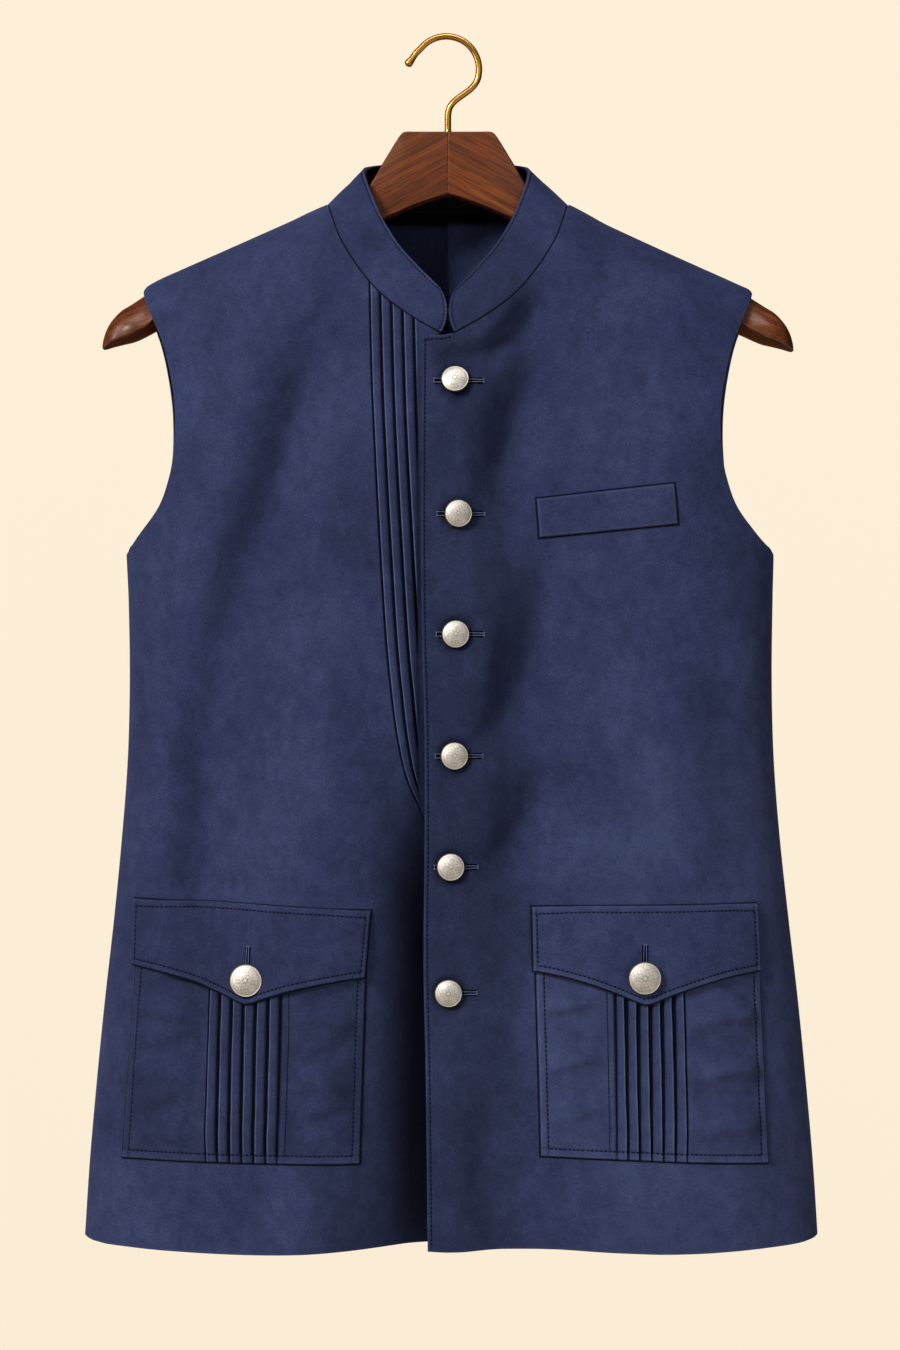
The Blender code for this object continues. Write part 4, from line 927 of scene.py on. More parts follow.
lap_line = left_front.line("last row", EDGE_STITCH, {"first column": EDGE_STITCH})
before_collar = lap_line[0][:, 0] < COLLAR_END + 1.0
thread_bits("edge_stitching", [edge_line, tuple(part[before_collar] for part in lap_line)], THREAD)

# %% [markdown]
# ## The right front
# The right front ends at the seam of its tucked insert. It falls back beside the lap, so less light
# reaches it there, under the chest crease and at the hem: the edge tone carries that soft shade.

# %% The right front, up to the seam of its tucked insert
STAND_HALF = 18.0        # how far the right front goes on under the lap
INSERT_LOW_Z = -596.0
LAP_SHADE, HEM_SHADE, CHEST_SHADE = 0.8, 0.36, 0.3


def insert_seam_x(z):
    return np.where(z < INSERT_LOW_Z, STAND_HALF, read(INSERT_SEAM, z))


seam_x = SEAM_HALF_GAP - INSERT_SEAM[-1][1]
seam_steps = [seam_x, seam_x + 0.35, seam_x + 0.9]
neck_x = np.concatenate([seam_steps, np.arange(58.5, 71.0, 2.6), neck_bend(1.4)])
right_x, right_z = to_shoulder(-neck_x, read(FRONT_NECK, neck_x), "right")
right_front = panel_sheet(right_x, right_z, lambda z: insert_seam_x(z) - SEAM_HALF_GAP, "front", "right")
x, z = right_front.points[..., 0], right_front.points[..., 2]
beside_lap = LAP_SHADE * ease((x + 58.0) / 36.0) * ease((-470.0 - z) / 120.0)
at_hem = HEM_SHADE * ease((x + 112.0) / 40.0) * ease((-700.0 - z) / 70.0)
right_front.tone -= CHEST_SHADE * bell((x + 70.0) / 22.0) * bell((z + 330.0) / 60.0)
right_front.tone -= np.maximum(beside_lap, at_hem)
right_front.edge("first column", "seam")
right_front.edge("last row", "seam", only=seam_share(right_front))
panel_piece("front_right", right_front)

# %% [markdown]
# ## The backs
# The back is two panels with a seam down the middle. Their lining shows through the neck, where it lies
# deep in shade, so the lining carries a dark tone near the neck seam.

# %% The backs
BACK_NECK_Z = -112.8
NECK_SHADE, RIGHT_SHADE = 1.2, 0.5
for side, sign in SIDES.items():
    neck_x = sign * np.concatenate([[0.0, 0.4, 0.9, 2.0], np.arange(4.0, 71.0, 3.0), neck_bend(1.4)])
    back_x, back_z = to_shoulder(neck_x, np.full(len(neck_x), BACK_NECK_Z), side)
    back = panel_sheet(back_x, back_z, np.zeros_like, "back", side)
    back.edge("first column", "seam")
    back.edge("last row", "seam", only=seam_share(back))
    shaded = -NECK_SHADE * ease((back.points[..., 2] + 124.0) / 8.0) - RIGHT_SHADE * (side == "right")
    panel_piece(f"back_{side}", back, under_tone=shaded)

# %% [markdown]
# ## Knife tucks
# A knife tuck is a pinch of cloth folded flat to one side and stitched at its ends. Its folded edge
# stands a little off the cloth below and hangs over it, so a thin dark gap runs beside each pale edge;
# the profile's tone also paints shade into that gap and a highlight along the fold. The profile below
# goes across one tuck; it turns back on itself under the fold, which a height alone could not do.

# %% A run of tucks
# The tone column is painted light: painted shade in the gap, a painted highlight on the fold.
TUCK_PROFILE = [  # share of the tuck's pitch, height, edge tone, how far it draws back as the tuck opens
    (0, -0.6, -2, 0), (0.16, -0.65, -2, 0), (0.17, 0.05, -1.8, 0), (0.11, 0.38, -1.2, 0),
    (0.09, 0.75, 0.5, 0), (0.105, 1.02, 1, 0), (0.15, 1.18, 0.8, 0), (0.22, 1.2, 0.1, 0),
    (0.38, 1.1, 0, -0.1), (0.54, 0.95, 0, -0.5), (0.7, 0.8, -0.3, -0.8), (0.82, 0.55, -0.8, -1),
    (0.88, 0.05, -1.5, -1), (0.91, -0.6, -2, -1),
]
INSERT_TUCKS, TUCK_PITCH = 6, 7.5
POCKET_TUCKS = 6


def tuck_run(count, behind=1.0):
    """(share of the run, height, tone, drawing back) across tucks whose folds lie towards the run's start."""
    marks = [
        ((k + share) / count, height, tone * (behind if 0.6 < share < 0.9 else 1.0), back / count)
        for k in range(count)
        for share, height, tone, back in TUCK_PROFILE
    ]
    return np.array(marks + [(1.0, 0.0, -0.6, 0.0)])


print("tucks:", INSERT_TUCKS, "in the insert,", POCKET_TUCKS, "in each pocket")

# %% [markdown]
# ## The tucked insert
# The insert is a tapering strip between the right front and the lap, with six tucks that lie towards its
# seam. It hangs on its own grid, whose columns follow the tuck profile, and goes on under the left front.

# %% The tucked insert of the right front
TUCK_FREE = 0.5, 5       # from the seam to the first fold, and the columns beyond the last one
ROOM_SHARE = 0.8         # the most of the insert's width that its tucks take
UNCOVERED_X = -19.0      # the left front covers what lies past this
UNDERLAP_TOP = -208.5

rows = np.concatenate([np.linspace(0, 0.97, 110), [0.98, 0.988, 0.993, 0.996, 0.998, 0.999, 1.0]])
top_z, seam_top = INSERT_SEAM[-1]
edge_z = INSERT_LOW_Z + rows * (top_z - INSERT_LOW_Z)
start = insert_seam_x(edge_z + 1e-6) + SEAM_HALF_GAP
room = STAND_HALF - start
run = np.minimum(INSERT_TUCKS * TUCK_PITCH, ROOM_SHARE * room)
tucks = tuck_run(INSERT_TUCKS)
places = [start, start + 0.4] + [start + TUCK_FREE[0] + (run - TUCK_FREE[0]) * share for share in tucks[:, 0]]
places += [places[-1] + (STAND_HALF - places[-1]) * share for share in (0.15, 0.3, 0.5, 0.75, 1.0)]
x = np.stack(places, axis=1)
heights = np.concatenate([[0.0, -0.2], tucks[:, 1], np.zeros(TUCK_FREE[1])])
# the seam's dark line, then the tucks' painted shade and highlights
tones = np.concatenate([[-1.0, -0.6], tucks[:, 2], np.zeros(TUCK_FREE[1])])
x_up = seam_top + (x - start[:, None]) * ((STAND_HALF - seam_top) / room)[:, None]
z_up = np.where(x_up < -COLLAR_END + 0.5, read(FRONT_NECK, -x_up), UNDERLAP_TOP)
z = INSERT_LOW_Z + rows[:, None] * (z_up - INSERT_LOW_Z)
uncovered = ease((UNCOVERED_X - x) / 2.0)
base, outs = over_front(x, z, np.zeros_like(x), lap(x, z, "right"))
insert = Sheet(base, FORWARD)
insert.normals = outs
insert.tone += tones * uncovered
insert.edge("last row", "seam")
insert.settle()
raised = insert.points + outs * (heights * uncovered)[..., None]
insert_wall = cloth_wall("tuck_insert", raised, base - outs * CLOTH, insert, (COTTON, LINING))
take_place(insert_wall, "cloth", "tuck_insert")

# %% [markdown]
# ## The band collar
# A nehru collar is a stiffened band sewn to the neck all round, with rounded ends that meet in the
# middle. Its lower edge follows the neck seam of the panels, and its upper edge is a smaller loop that
# leans in to the neck.

# %% The collar
COLLAR_TOP = [  # share of the way from the centre front to the centre back, x, y, z of the upper edge
    (0, 5, -53, -174.5), (0.15, 18.7, -47.5, -160), (0.27, 32.2, -40.5, -144), (0.4, 43.7, -32, -124.6),
    (0.52, 52, -19.5, -104), (0.62, 56.3, -1, -89.5), (0.72, 51.5, 17, -84), (0.86, 29, 31, -80.5),
    (1, 0, 37, -78.5),
]
COLLAR_LEAN = -1.6       # the upper edge sits this far towards the wearer's right
COLLAR_ROUND, COLLAR_ROUND_LENGTH = 4.3, 14.0
COLLAR_CROWN = 0.5
COLLAR_STEPS = [
    0, 0.3, 0.7, 1.3, 2.4, 4, 6.5, 9.5, 13, 17, 21, 25, 29, 32, 34, 35, 35.7, 36.3, 36.9, 37.4, 37.8, 38.1,
    38.4,
]
COLLAR_CLOTH = 2.4
COLLAR_STITCH, COLLAR_BORDER = 2.1, 0.15
COLLAR_UNEVEN = 0.35
COLLAR_OFF_NECK, COLLAR_SINK = 0.35, 0.85    # it stands on the neck seam, and sinks behind it at the back
# painted shade over the whole collar, and more on its left half towards the front
COLLAR_SHADE, COLLAR_LEFT_SHADE = 0.04, 0.32
INNER_TONE = -1.2                            # the inside of the neck lies in shade

end_x = COLLAR_END + np.array([0, 0.3, 0.7, 1.2, 1.7, 2.2, 2.7, 3.3])
front_x = np.concatenate([end_x, np.arange(9.0, 71, 1.8), np.arange(71.3, NECK_HALF, 0.9)])
front_z = read(FRONT_NECK, front_x)
right_run = on_body(-front_x, front_z, "front", lap(-front_x, front_z, "right"))
left_run = on_body(front_x, front_z, "front", lap(front_x, front_z, "left"))
back_x = np.linspace(-NECK_HALF, NECK_HALF, 81)
back_run = on_body(back_x, np.full(len(back_x), BACK_NECK_Z), "back")
back_run[[0, -1], 1] = 0.0
lower = np.concatenate([right_run, back_run, left_run[::-1]])
lengths = lengths_along(lower)
share = 1 - np.abs(1 - 2 * lengths / lengths[-1])
side_sign = np.where(np.arange(len(lower)) < len(lower) / 2, -1.0, 1.0)
upper = np.stack([read(COLLAR_TOP, share, k) for k in (1, 2, 3)], axis=1)
upper[:, 0] = side_sign * upper[:, 0] + COLLAR_LEAN * share
stand_off = COLLAR_OFF_NECK - COLLAR_SINK * ease((share - 0.55) / 0.12)
lower = lower + unit(upper - lower) * stand_off[:, None]
v = np.array(COLLAR_STEPS)[:, None] / COLLAR_STEPS[-1]
collar_points = lower[None] + (upper - lower)[None] * v[..., None]
end_away = np.minimum(lengths, lengths[-1] - lengths)
rounding = COLLAR_ROUND * np.clip(1 - end_away / COLLAR_ROUND_LENGTH, 0, 1) ** 2
collar_points[..., 0] -= side_sign * rounding * (1 - (2 * v - 1) ** 2)
collar = Sheet(collar_points, (-1, 0, 0))
if collar.normals[8, 4, 1] > 0:
    collar.normals = -collar.normals
collar.lift += COLLAR_CROWN * np.sin(math.pi * v)
collar.lift += COLLAR_UNEVEN * uneven(lengths[None, :] + 0 * v, 60 * v + 0 * lengths[None, :], COLLAR_LAYER)
collar.tone -= COLLAR_SHADE + COLLAR_LEFT_SHADE * (side_sign > 0) * ease((0.55 - share) / 0.3)
collar.edge("first row", "seam")
for name in ("last row", "first column", "last column"):
    collar.edge(name, "turned", COLLAR_STITCH, COLLAR_BORDER)
collar.settle()
inner = collar.points - collar.normals * COLLAR_CLOTH
collar_wall = cloth_wall("collar", collar.points, inner, collar, (COTTON, LINING), INNER_TONE)
take_place(collar_wall, "cloth", "collar")
ends = {"first row": 1.5, "last row": COLLAR_STITCH}
corners = {"first column": COLLAR_STITCH, "last column": COLLAR_STITCH}
lines = [collar.line("last row", COLLAR_STITCH, corners)]
lines += [collar.line(name, COLLAR_STITCH, ends) for name in ("first column", "last column")]
thread_bits("collar_stitching", lines, THREAD, pitch=2.4, length=1.6, radius=0.34)

# %% [markdown]
# ## Patch pockets with tucks
# Each hip pocket is a bag sewn on by three sides, with six tucks down its middle whose folds lie towards
# the side seam. Its turned edge makes a fuller border outside the topstitching. It is made from the
# front's own points, moved out, so that it lies on the cloth wherever the front swells.

# %% Pocket tables
PATCHES = {  # x and z of the corners: at the top near the centre and near the side, then at the bottom
    "right": ((-54.0, -604.0), (-205.8, -600.0), (-59.0, -755.4), (-216.8, -754.2)),
    "left": ((58.0, -602.0), (205.8, -600.0), (61.9, -750.3), (212.6, -757.4)),
}
TUCK_STARTS = {"right": (0.346, 0.337), "left": (0.343, 0.327)}   # share of the width, at the top and below
TUCK_ENDS = {"right": (0.672, 0.641), "left": (0.652, 0.640)}
TUCK_OPEN = {"right": (0.02, -0.02), "left": (0.26, 0.02)}        # how far the tucks stand open there
TUCK_STAND = {"right": (1.2, 1.0), "left": (1.3, 0.9)}            # and how high
# how dark the painted shade is behind each fold
TUCK_SHADE_BEHIND = {"right": 1.0, "left": 0.25}                        # how dark they are behind each fold
# the right pocket is painted darker as shade, the left one painted lighter
PATCH_LIGHT_AND_SHADE = {"right": -0.2, "left": 0.12}
PATCH_CLOTH = 1.6
PATCH_STITCH = 4.7
PATCH_EDGE = 8.0         # the border whose grid is finest
PATCH_SPANS = 14         # columns on each side of the tucks
UNDER_FLAP = 9           # rows that the flap covers
POCKET_FULLNESS = 3.2    # how far the bag of the pocket stands off the front
FINE_STEPS = [0.0, 0.3, 0.7, 1.3, 2.2, 3.2, 3.9, 4.3, 4.7, 5.1, 5.6, 6.4]
POCKET_CREASES = {
    "right": [
        (-178, -634, -206, -646, 4, 5, -3.8), (-176, -660, -208, -652, 4, 5, 3.8),
        (-172, -676, -206, -688, 5, 5, -4.75), (-174, -702, -208, -694, 4, 5, 3.8),
        (-176, -716, -206, -728, 4, 5, -3.8), (-180, -740, -208, -734, 4, 4, 2.85),
        (-62, -640, -92, -648, 4, 5, -3.8), (-62, -664, -96, -656, 4, 5, 3.8),
        (-64, -678, -94, -690, 5, 5, -4.75), (-66, -706, -98, -698, 4, 5, 3.8),
        (-68, -722, -98, -732, 4, 5, -3.8), (-104, -650, -100, -740, 6, 6, -2.85),
        (-164, -660, -168, -740, 6, 6, -2.85),
    ],
    "left": [
        (62, -634, 90, -642, 4, 5, -3.8), (64, -654, 96, -648, 4, 5, 4.75),
        (64, -668, 92, -678, 5, 5, -4.75), (64, -694, 98, -684, 4, 5, 4.75),
        (66, -706, 94, -714, 4, 5, -4.75), (66, -728, 98, -720, 4, 5, 3.8),
        (70, -738, 98, -744, 4, 4, -2.85), (180, -636, 208, -650, 4, 5, -3.8),
        (166, -662, 206, -658, 4, 5, 3.8), (164, -672, 206, -684, 5, 5, -4.75),
        (168, -698, 208, -694, 4, 5, 4.75), (164, -708, 206, -720, 5, 5, -4.75),
        (170, -734, 208, -732, 4, 4, 3.8),
    ],
}
print("pocket creases:", {side: len(rows) for side, rows in POCKET_CREASES.items()})

# %% [markdown]
# ## Pieces laid on a front
# A pocket, a flap and the welt each lie on a front. They could be flat plates, but a plate would cut
# through the swelling cloth, so each takes the front's own points, moved out along its normals. Its under
# layer rolls out a little past the edge and is painted dark, as a painted shadow line round the piece.

# %% Laying a piece on a front
LIE_GAP = 0.6            # under a piece that lies on a panel


def between(ends, share):
    return ends[0] + (ends[1] - ends[0]) * share


def corner_mix(corners, across, down):
    """The x and z of places in a four-cornered piece, from their shares across and down it."""
    (x1, z1), (x2, z2), (x3, z3), (x4, z4) = corners
    x = between((between((x1, x2), across), between((x3, x4), across)), down)
    return x, between((between((z1, z2), across), between((z3, z4), across)), down)


def laid_sheet(x, z, cloth, stand=0.0):
    """A sheet over a front, the points just under it, and the directions out of the front."""
    below, outs = over_front(x, z, np.full(np.shape(x), LIE_GAP))
    below = below + np.array(FORWARD) * np.asarray(stand)[..., None]
    sheet = Sheet(below + outs * cloth, FORWARD)
    sheet.normals = outs
    return sheet, below, outs


UNDER_REACH = 1.5        # how far a laid piece's under layer rolls out past its edge
# painted shadow: the under layer's dark tone draws a shadow line round the piece
UNDER_SHADOW = -2.4        # its tone, which shows as a thin dark line round the piece


def laid_piece(name, sheet, below):
    """Closes a laid piece between its outer points and the points just over the cloth below."""
    sheet.settle()
    under = below.copy()
    for edge, beside in ((0, 1), (-1, -2)):
        for points, whole in ((under, below), (under.swapaxes(0, 1), below.swapaxes(0, 1))):
            points[edge] += UNDER_REACH * unit(whole[edge] - whole[beside])
    take_place(cloth_wall(name, sheet.points, under, sheet, (COTTON, COTTON), UNDER_SHADOW), "cloth", name)


print("an under layer reaches out, in mm:", UNDER_REACH)

# %% [markdown]
# ## The bag of a pocket
# The bag is fullest away from its three sewn sides and starts flat under the flap. Its tucks follow the
# same profile as the insert's, and each row of the grid is shared out between its borders, its plain
# cloth and its tucks.

# %% Pocket patches
def pocket_patch(side):
    corners = PATCHES[side]
    width = abs(corners[1][0] - corners[0][0])
    height = abs(corners[2][1] - corners[0][1])
    edge = np.array(FINE_STEPS)
    down = np.concatenate([np.linspace(0, 1 - PATCH_EDGE / height, 56), 1 - edge[::-1] / height])[:, None]
    start, end = between(TUCK_STARTS[side], down), between(TUCK_ENDS[side], down)
    opened, stand = between(TUCK_OPEN[side], down), between(TUCK_STAND[side], down)
    border = PATCH_EDGE / width
    near = border + (start - border - 4.2 / width) * np.linspace(0, 1, PATCH_SPANS)
    far = np.concatenate([np.linspace(0.025, 1, PATCH_SPANS, endpoint=False), [1.0]])
    tucks = tuck_run(POCKET_TUCKS, TUCK_SHADE_BEHIND[side])[::-1]
    across = np.minimum(1.0, np.hstack([
        edge / width + 0 * down,
        near,
        start - 0.006,
        start + (end - start) * (1 - tucks[:, 0] - tucks[:, 3] * opened),
        end + (1 - end) * far * (1 - border / (1 - end)),
        1 - edge[::-1] / width + 0 * down,
    ]))
    plain = np.zeros(len(edge) + PATCH_SPANS + 1)
    raised, tone = (np.concatenate([plain, tucks[:, k], plain]) for k in (1, 2))
    x, z = corner_mix(corners, across, down)
    patch, below, outs = laid_sheet(x, z, PATCH_CLOTH)
    inside = np.minimum.reduce([patch.away[name] for name in ("first column", "last column", "last row")])
    bag = POCKET_FULLNESS * ease(inside / 22.0)
    bag = bag + creases(POCKET_CREASES[side], x, z) * ease((inside - 3.0) / 6.0)
    clear = ease((z[0] - z) / 18.0)          # the bag and its tucks start flat under the flap
    bag = np.maximum(bag, 0.0) * clear
    flatten = 1 - 0.45 * ease((PATCH_STITCH + 1.5 - patch.away["last row"]) / 2.5)
    patch.lift += bag + raised * flatten * clear * np.where(raised > 0, stand, 1.0)
    patch.tone += PATCH_LIGHT_AND_SHADE[side] + tone * flatten
    for name in ("first column", "last column", "last row"):
        patch.edge(name, "turned", PATCH_STITCH)
    laid_piece(f"pocket_{side}", patch, below + outs * bag[..., None])
    sides = {"first column": PATCH_STITCH, "last column": PATCH_STITCH}
    lines = [patch.line(name, PATCH_STITCH, {"last row": PATCH_STITCH}) for name in sides]
    thread_bits(f"pocket_stitching_{side}", lines + [patch.line("last row", PATCH_STITCH, sides)], THREAD)
    beside = len(edge) + PATCH_SPANS - 1
    tuck_line = (patch.points[:-UNDER_FLAP, beside], patch.normals[:-UNDER_FLAP, beside])
    thread_bits(f"tuck_stitching_{side}", [tuck_line], THREAD, pitch=2.6, length=2.5, radius=0.3)


for side in SIDES:
    pocket_patch(side)

# %% [markdown]
# ## Pocket flaps
# A flap hangs from its upper seam over the mouth of the pocket, with a low point in the middle where it
# buttons. It lies flat at the seam and stands off the full bag below, most in the middle and least at its
# corners.

# %% Pocket flaps
FLAPS = {
    "right": ((-51.4, -589.0), (-209.2, -582.6), (-55.2, -632.0), (-210.4, -625.2)),
    "left": ((55.9, -586.3), (205.6, -585.6), (56.8, -627.6), (207.4, -629.1)),
}
FLAP_POINTS = {"right": (-133.9, -650.8, 0.505), "left": (131.3, -650.7, 0.485)}
FLAP_CURVE = 3.2
FLAP_LIFT = [(0, 0), (0.12, 2.8), (0.26, 4.6), (0.5, 6.4), (0.78, 7.6), (1, 7.8)]
FLAP_CLOTH = 2.0
FLAP_STITCH = {"first row": 4.6, "first column": 2.6, "last column": 2.6, "last row": 3.4}
# the right flap is painted darker as shade
FLAP_SHADE = {"right": -0.2, "left": 0.0}
FLAP_DEPTH = 52.0        # about how deep a flap is, for the steps of its grid
FLAP_TIP, FLAP_TIP_HALF = 0.9, 2.2       # the turned point is this much blunter
FLAP_DOWN = [0, 0.3, 0.7, 1.3, 2.2, 3.0, 3.4, 3.9, 4.4, 4.9, 5.4, 6.5]
FLAP_CREASES = {
    "right": [
        (-84, -590, -86, -636, 10, 10, -1.6), (-104, -592, -108, -642, 9, 9, 1.6),
        (-156, -590, -160, -640, 10, 10, 1.92), (-180, -590, -184, -634, 9, 9, -1.6),
        (-133, -596, -133, -624, 7, 7, -1.28),
    ],
    "left": [
        (84, -590, 86, -634, 10, 10, -1.92), (104, -592, 106, -640, 9, 9, 1.6),
        (158, -590, 156, -640, 10, 10, 1.92), (182, -590, 184, -634, 9, 9, -1.92),
        (130, -596, 130, -624, 7, 7, -1.28),
    ],
}


def pocket_flap(side):
    corners, (point_x, point_z, point_share) = FLAPS[side], FLAP_POINTS[side]
    width = abs(corners[1][0] - corners[0][0])
    edge = np.array([0, 0.3, 0.7, 1.2, 1.9, 2.4, 2.9, 3.6, 4.6, 6]) / width
    inner = np.linspace(0.055, 0.945, 56)
    inner = inner[np.abs(inner - point_share) > 4 / width]
    near_point = point_share + np.array([-2.4, -1.2, 0.0, 1.2, 2.4]) / width
    across = np.sort(np.concatenate([edge, inner, near_point, 1 - edge]))
    steps = np.array(FLAP_DOWN) / FLAP_DEPTH
    down = np.sort(np.concatenate([steps, np.linspace(0.16, 0.84, 16), 1 - steps]))[:, None]
    top_x, top_z = corner_mix(corners, across, 0.0)
    nearer = across < point_share
    to_point = np.where(nearer, across / point_share, (1 - across) / (1 - point_share))
    end_x, end_z = (np.where(nearer, corners[2][k], corners[3][k]) for k in (0, 1))
    low_z = between((end_z, point_z), to_point) + FLAP_CURVE * 4 * to_point * (1 - to_point)
    low_z = low_z + FLAP_TIP * bell(np.abs(across - point_share) * width / FLAP_TIP_HALF)
    x, z = between((top_x, between((end_x, point_x), to_point)), down), between((top_z, low_z), down)
    from_side = np.minimum(across, 1 - across) * width
    stand = read(FLAP_LIFT, down) * (0.5 + 0.5 * ease(from_side / 34.0))
    flap, below, outs = laid_sheet(x, z, FLAP_CLOTH, stand)
    bent = creases(FLAP_CREASES[side], x, z) * ease(down / 0.35)
    flap.lift += bent
    flap.tone += FLAP_SHADE[side]
    for name, inset in FLAP_STITCH.items():
        flap.edge(name, "turned", inset)
    laid_piece(f"flap_{side}", flap, below + outs * bent[..., None])
    lines = []
    for name, inset in FLAP_STITCH.items():
        trims = {other: FLAP_STITCH[other] for other in FLAP_STITCH if ("row" in other) != ("row" in name)}
        lines.append(flap.line(name, inset, trims))
    thread_bits(f"flap_stitching_{side}", lines, THREAD)
    return flap


flaps = {side: pocket_flap(side) for side in SIDES}

# %% [markdown]
# ## The chest welt
# A welt is a narrow folded strip that closes a pocket cut in the chest. It stands a little full along its
# middle and sinks towards its lower seam.

# %% The chest welt
WELT = ((59.4, -315.3), (150.0, -305.4), (60.9, -340.3), (152.2, -331.3))
WELT_WIDTH, WELT_DEPTH, WELT_CLOTH = 92.0, 26.0, 1.8
WELT_FULL, WELT_SINK = 0.35, 0.25

edge = np.array([0, 0.3, 0.7, 1.2, 2.0])
across = np.concatenate([edge / WELT_WIDTH, np.linspace(0.04, 0.96, 30), 1 - edge[::-1] / WELT_WIDTH])
down = np.concatenate([edge / WELT_DEPTH, np.linspace(0.14, 0.86, 9), 1 - edge[::-1] / WELT_DEPTH])[:, None]
welt, below, outs = laid_sheet(*corner_mix(WELT, across, down), WELT_CLOTH)
welt.lift += WELT_FULL * np.sin(math.pi * down) - WELT_SINK * ease((welt.away["last row"] - 20.0) / 5.0)
for name in welt.away:
    welt.edge(name, "turned")
laid_piece("chest_welt", welt, below)

# %% [markdown]
# ## Buttons
# The buttons are domed castings with a shank. A dome is turned from its profile: a circle is added, its
# face is pulled out ring by ring and closed at the crown. A rosette and a ring of small scrolls are then
# raised on the dome, low enough to read as an old cast ornament. One button is modelled, and each of the
# eight is a copy.

# %% One button
BUTTON_RINGS = [  # radius and height as shares of the button's radius, from the back of the shank to the rim
    (0.24, 0), (0.24, 0.16), (0.6, 0.18), (0.88, 0.2), (0.96, 0.23), (1, 0.29), (1, 0.34), (0.975, 0.39),
    (0.94, 0.4), (0.91, 0.385),
]
DOME_RINGS = 34
DOME_FOOT, DOME_TOP, DOME_HALF = 0.40, 0.62, 0.895
BUTTON_SIDES = 96
RELIEF = 0.005


def button_rings():
    rings = list(BUTTON_RINGS)
    for k in range(DOME_RINGS):
        share = k / DOME_RINGS
        radius = DOME_HALF * (1 - share)
        rings.append((radius, DOME_FOOT + (DOME_TOP - DOME_FOOT) * (1 - (radius / DOME_HALF) ** 2)))
    return rings


rings = button_rings()
bpy.ops.object.select_all(action="DESELECT")
bpy.ops.mesh.primitive_circle_add(vertices=BUTTON_SIDES, radius=rings[0][0], fill_type="NGON")
button = bpy.context.object
button.name = "button_master"
bpy.ops.object.mode_set(mode="EDIT")
bpy.ops.mesh.select_mode(type="FACE")
bpy.ops.mesh.select_all(action="SELECT")
for (radius, height), (next_radius, next_height) in zip(rings, rings[1:]):
    bpy.ops.mesh.extrude_region_move(TRANSFORM_OT_translate={"value": (0, 0, next_height - height)})
    ratio = next_radius / radius
    bpy.ops.transform.resize(value=(ratio, ratio, 1.0), center_override=(0, 0, 0))
bpy.ops.mesh.merge(type="CENTER")
bpy.ops.object.mode_set(mode="OBJECT")
co = np.empty(len(button.data.vertices) * 3)
button.data.vertices.foreach_get("co", co)
co = co.reshape(-1, 3)
far = np.linalg.norm(co[:, :2], axis=1)
angle = np.arctan2(co[:, 1], co[:, 0])
petals = 0.65 * np.cos(7 * angle) * bell((far - 0.22) / 0.09)
across, up = co[:, 0], co[:, 1]
scrolls = np.sin(18 * across + 2.2 * np.sin(12 * up + 1)) * np.sin(19 * up + 2.4 * np.sin(11 * across + 2))
scrolls = 0.85 * np.tanh(2.2 * scrolls) * bell(((far - 0.55) / 0.24) ** 2)
rays = 0.49 * np.cos(40 * angle) * bell((far - 0.84) / 0.05)
boss = bell(far / 0.09) - 1.3 * bell((far - 0.15) / 0.035)
on_dome = (co[:, 2] > DOME_FOOT - 0.001) & (far < DOME_HALF - 0.002)
relief = (petals + scrolls + rays + boss - bell((far - 0.80) / 0.02)) * on_dome
co[:, 2] += RELIEF * relief
button.data.vertices.foreach_set("co", co.ravel())
# Low parts of the cast pattern hold dark patina; the rim and the back are darkened too, as painted shade
# round the button.
low = 0.55 + 0.3 * np.clip(relief, -1.2, 1) - 1.2 * ((far > 0.965) | (co[:, 2] < 0.25))
button.data.attributes.new("relief", "FLOAT", "POINT").data.foreach_set("value", low)
button.data.materials.append(SILVER)
button.data.shade_smooth()
button.data.set_sharp_from_angle(angle=math.radians(50))
print("one button:", len(button.data.polygons), "faces")

# %% [markdown]
# ## Eight buttons on the jacket
# Six buttons close the front and a larger one closes each pocket. A copy keeps the casting's mesh, is
# turned to face out of the cloth under it, and has its place put into its own mesh, so that each is a
# piece of its own.

# %% Eight buttons on the jacket
FRONT_BUTTON, POCKET_BUTTON = 18.4, 22.0
POCKET_BUTTONS = {"right": (-133.3, -634.7), "left": (129.9, -632.4)}
FLAP_OUTER = LIE_GAP + FLAP_LIFT[-2][1] + FLAP_CLOTH


def set_button(name, place, out, diameter):
    """A copy of the button with its own mesh, its back on the cloth and its place in its mesh."""
    copy = button.copy()
    copy.data = button.data.copy()
    copy.name = copy.data.name = name
    bpy.context.scene.collection.objects.link(copy)
    copy.scale = (diameter / 2 * MM,) * 3
    copy.rotation_euler = Vector(out).to_track_quat("Z", "Y").to_euler()
    copy.location = Vector(place) * MM
    select_only(copy)
    bpy.ops.object.transform_apply(location=True, rotation=True, scale=True)
    off = [(low + high) / 2 * 1000 - at for low, high, at in zip(*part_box(name), place)]
    print(name, "middle off its solid's by", [round(value, 1) for value in off])
    take_place(copy, "button_metal", name)


for n, (x, z) in enumerate(FRONT_BUTTONS, start=1):
    place, out = over_front(np.array([x]), np.array([z]), np.zeros(1), np.array([LAP_LIFT]))
    set_button(f"front_button_{n}", place[0], out[0], FRONT_BUTTON)
for side, (x, z) in POCKET_BUTTONS.items():
    place, out = over_front(np.array([x]), np.array([z]), np.zeros(1))
    forward = np.array(FORWARD)
    facing = 0.25 * out[0] + 0.75 * forward
    set_button(f"pocket_button_{side}", place[0] + FLAP_OUTER * forward, facing, POCKET_BUTTON)
bpy.data.objects.remove(button)

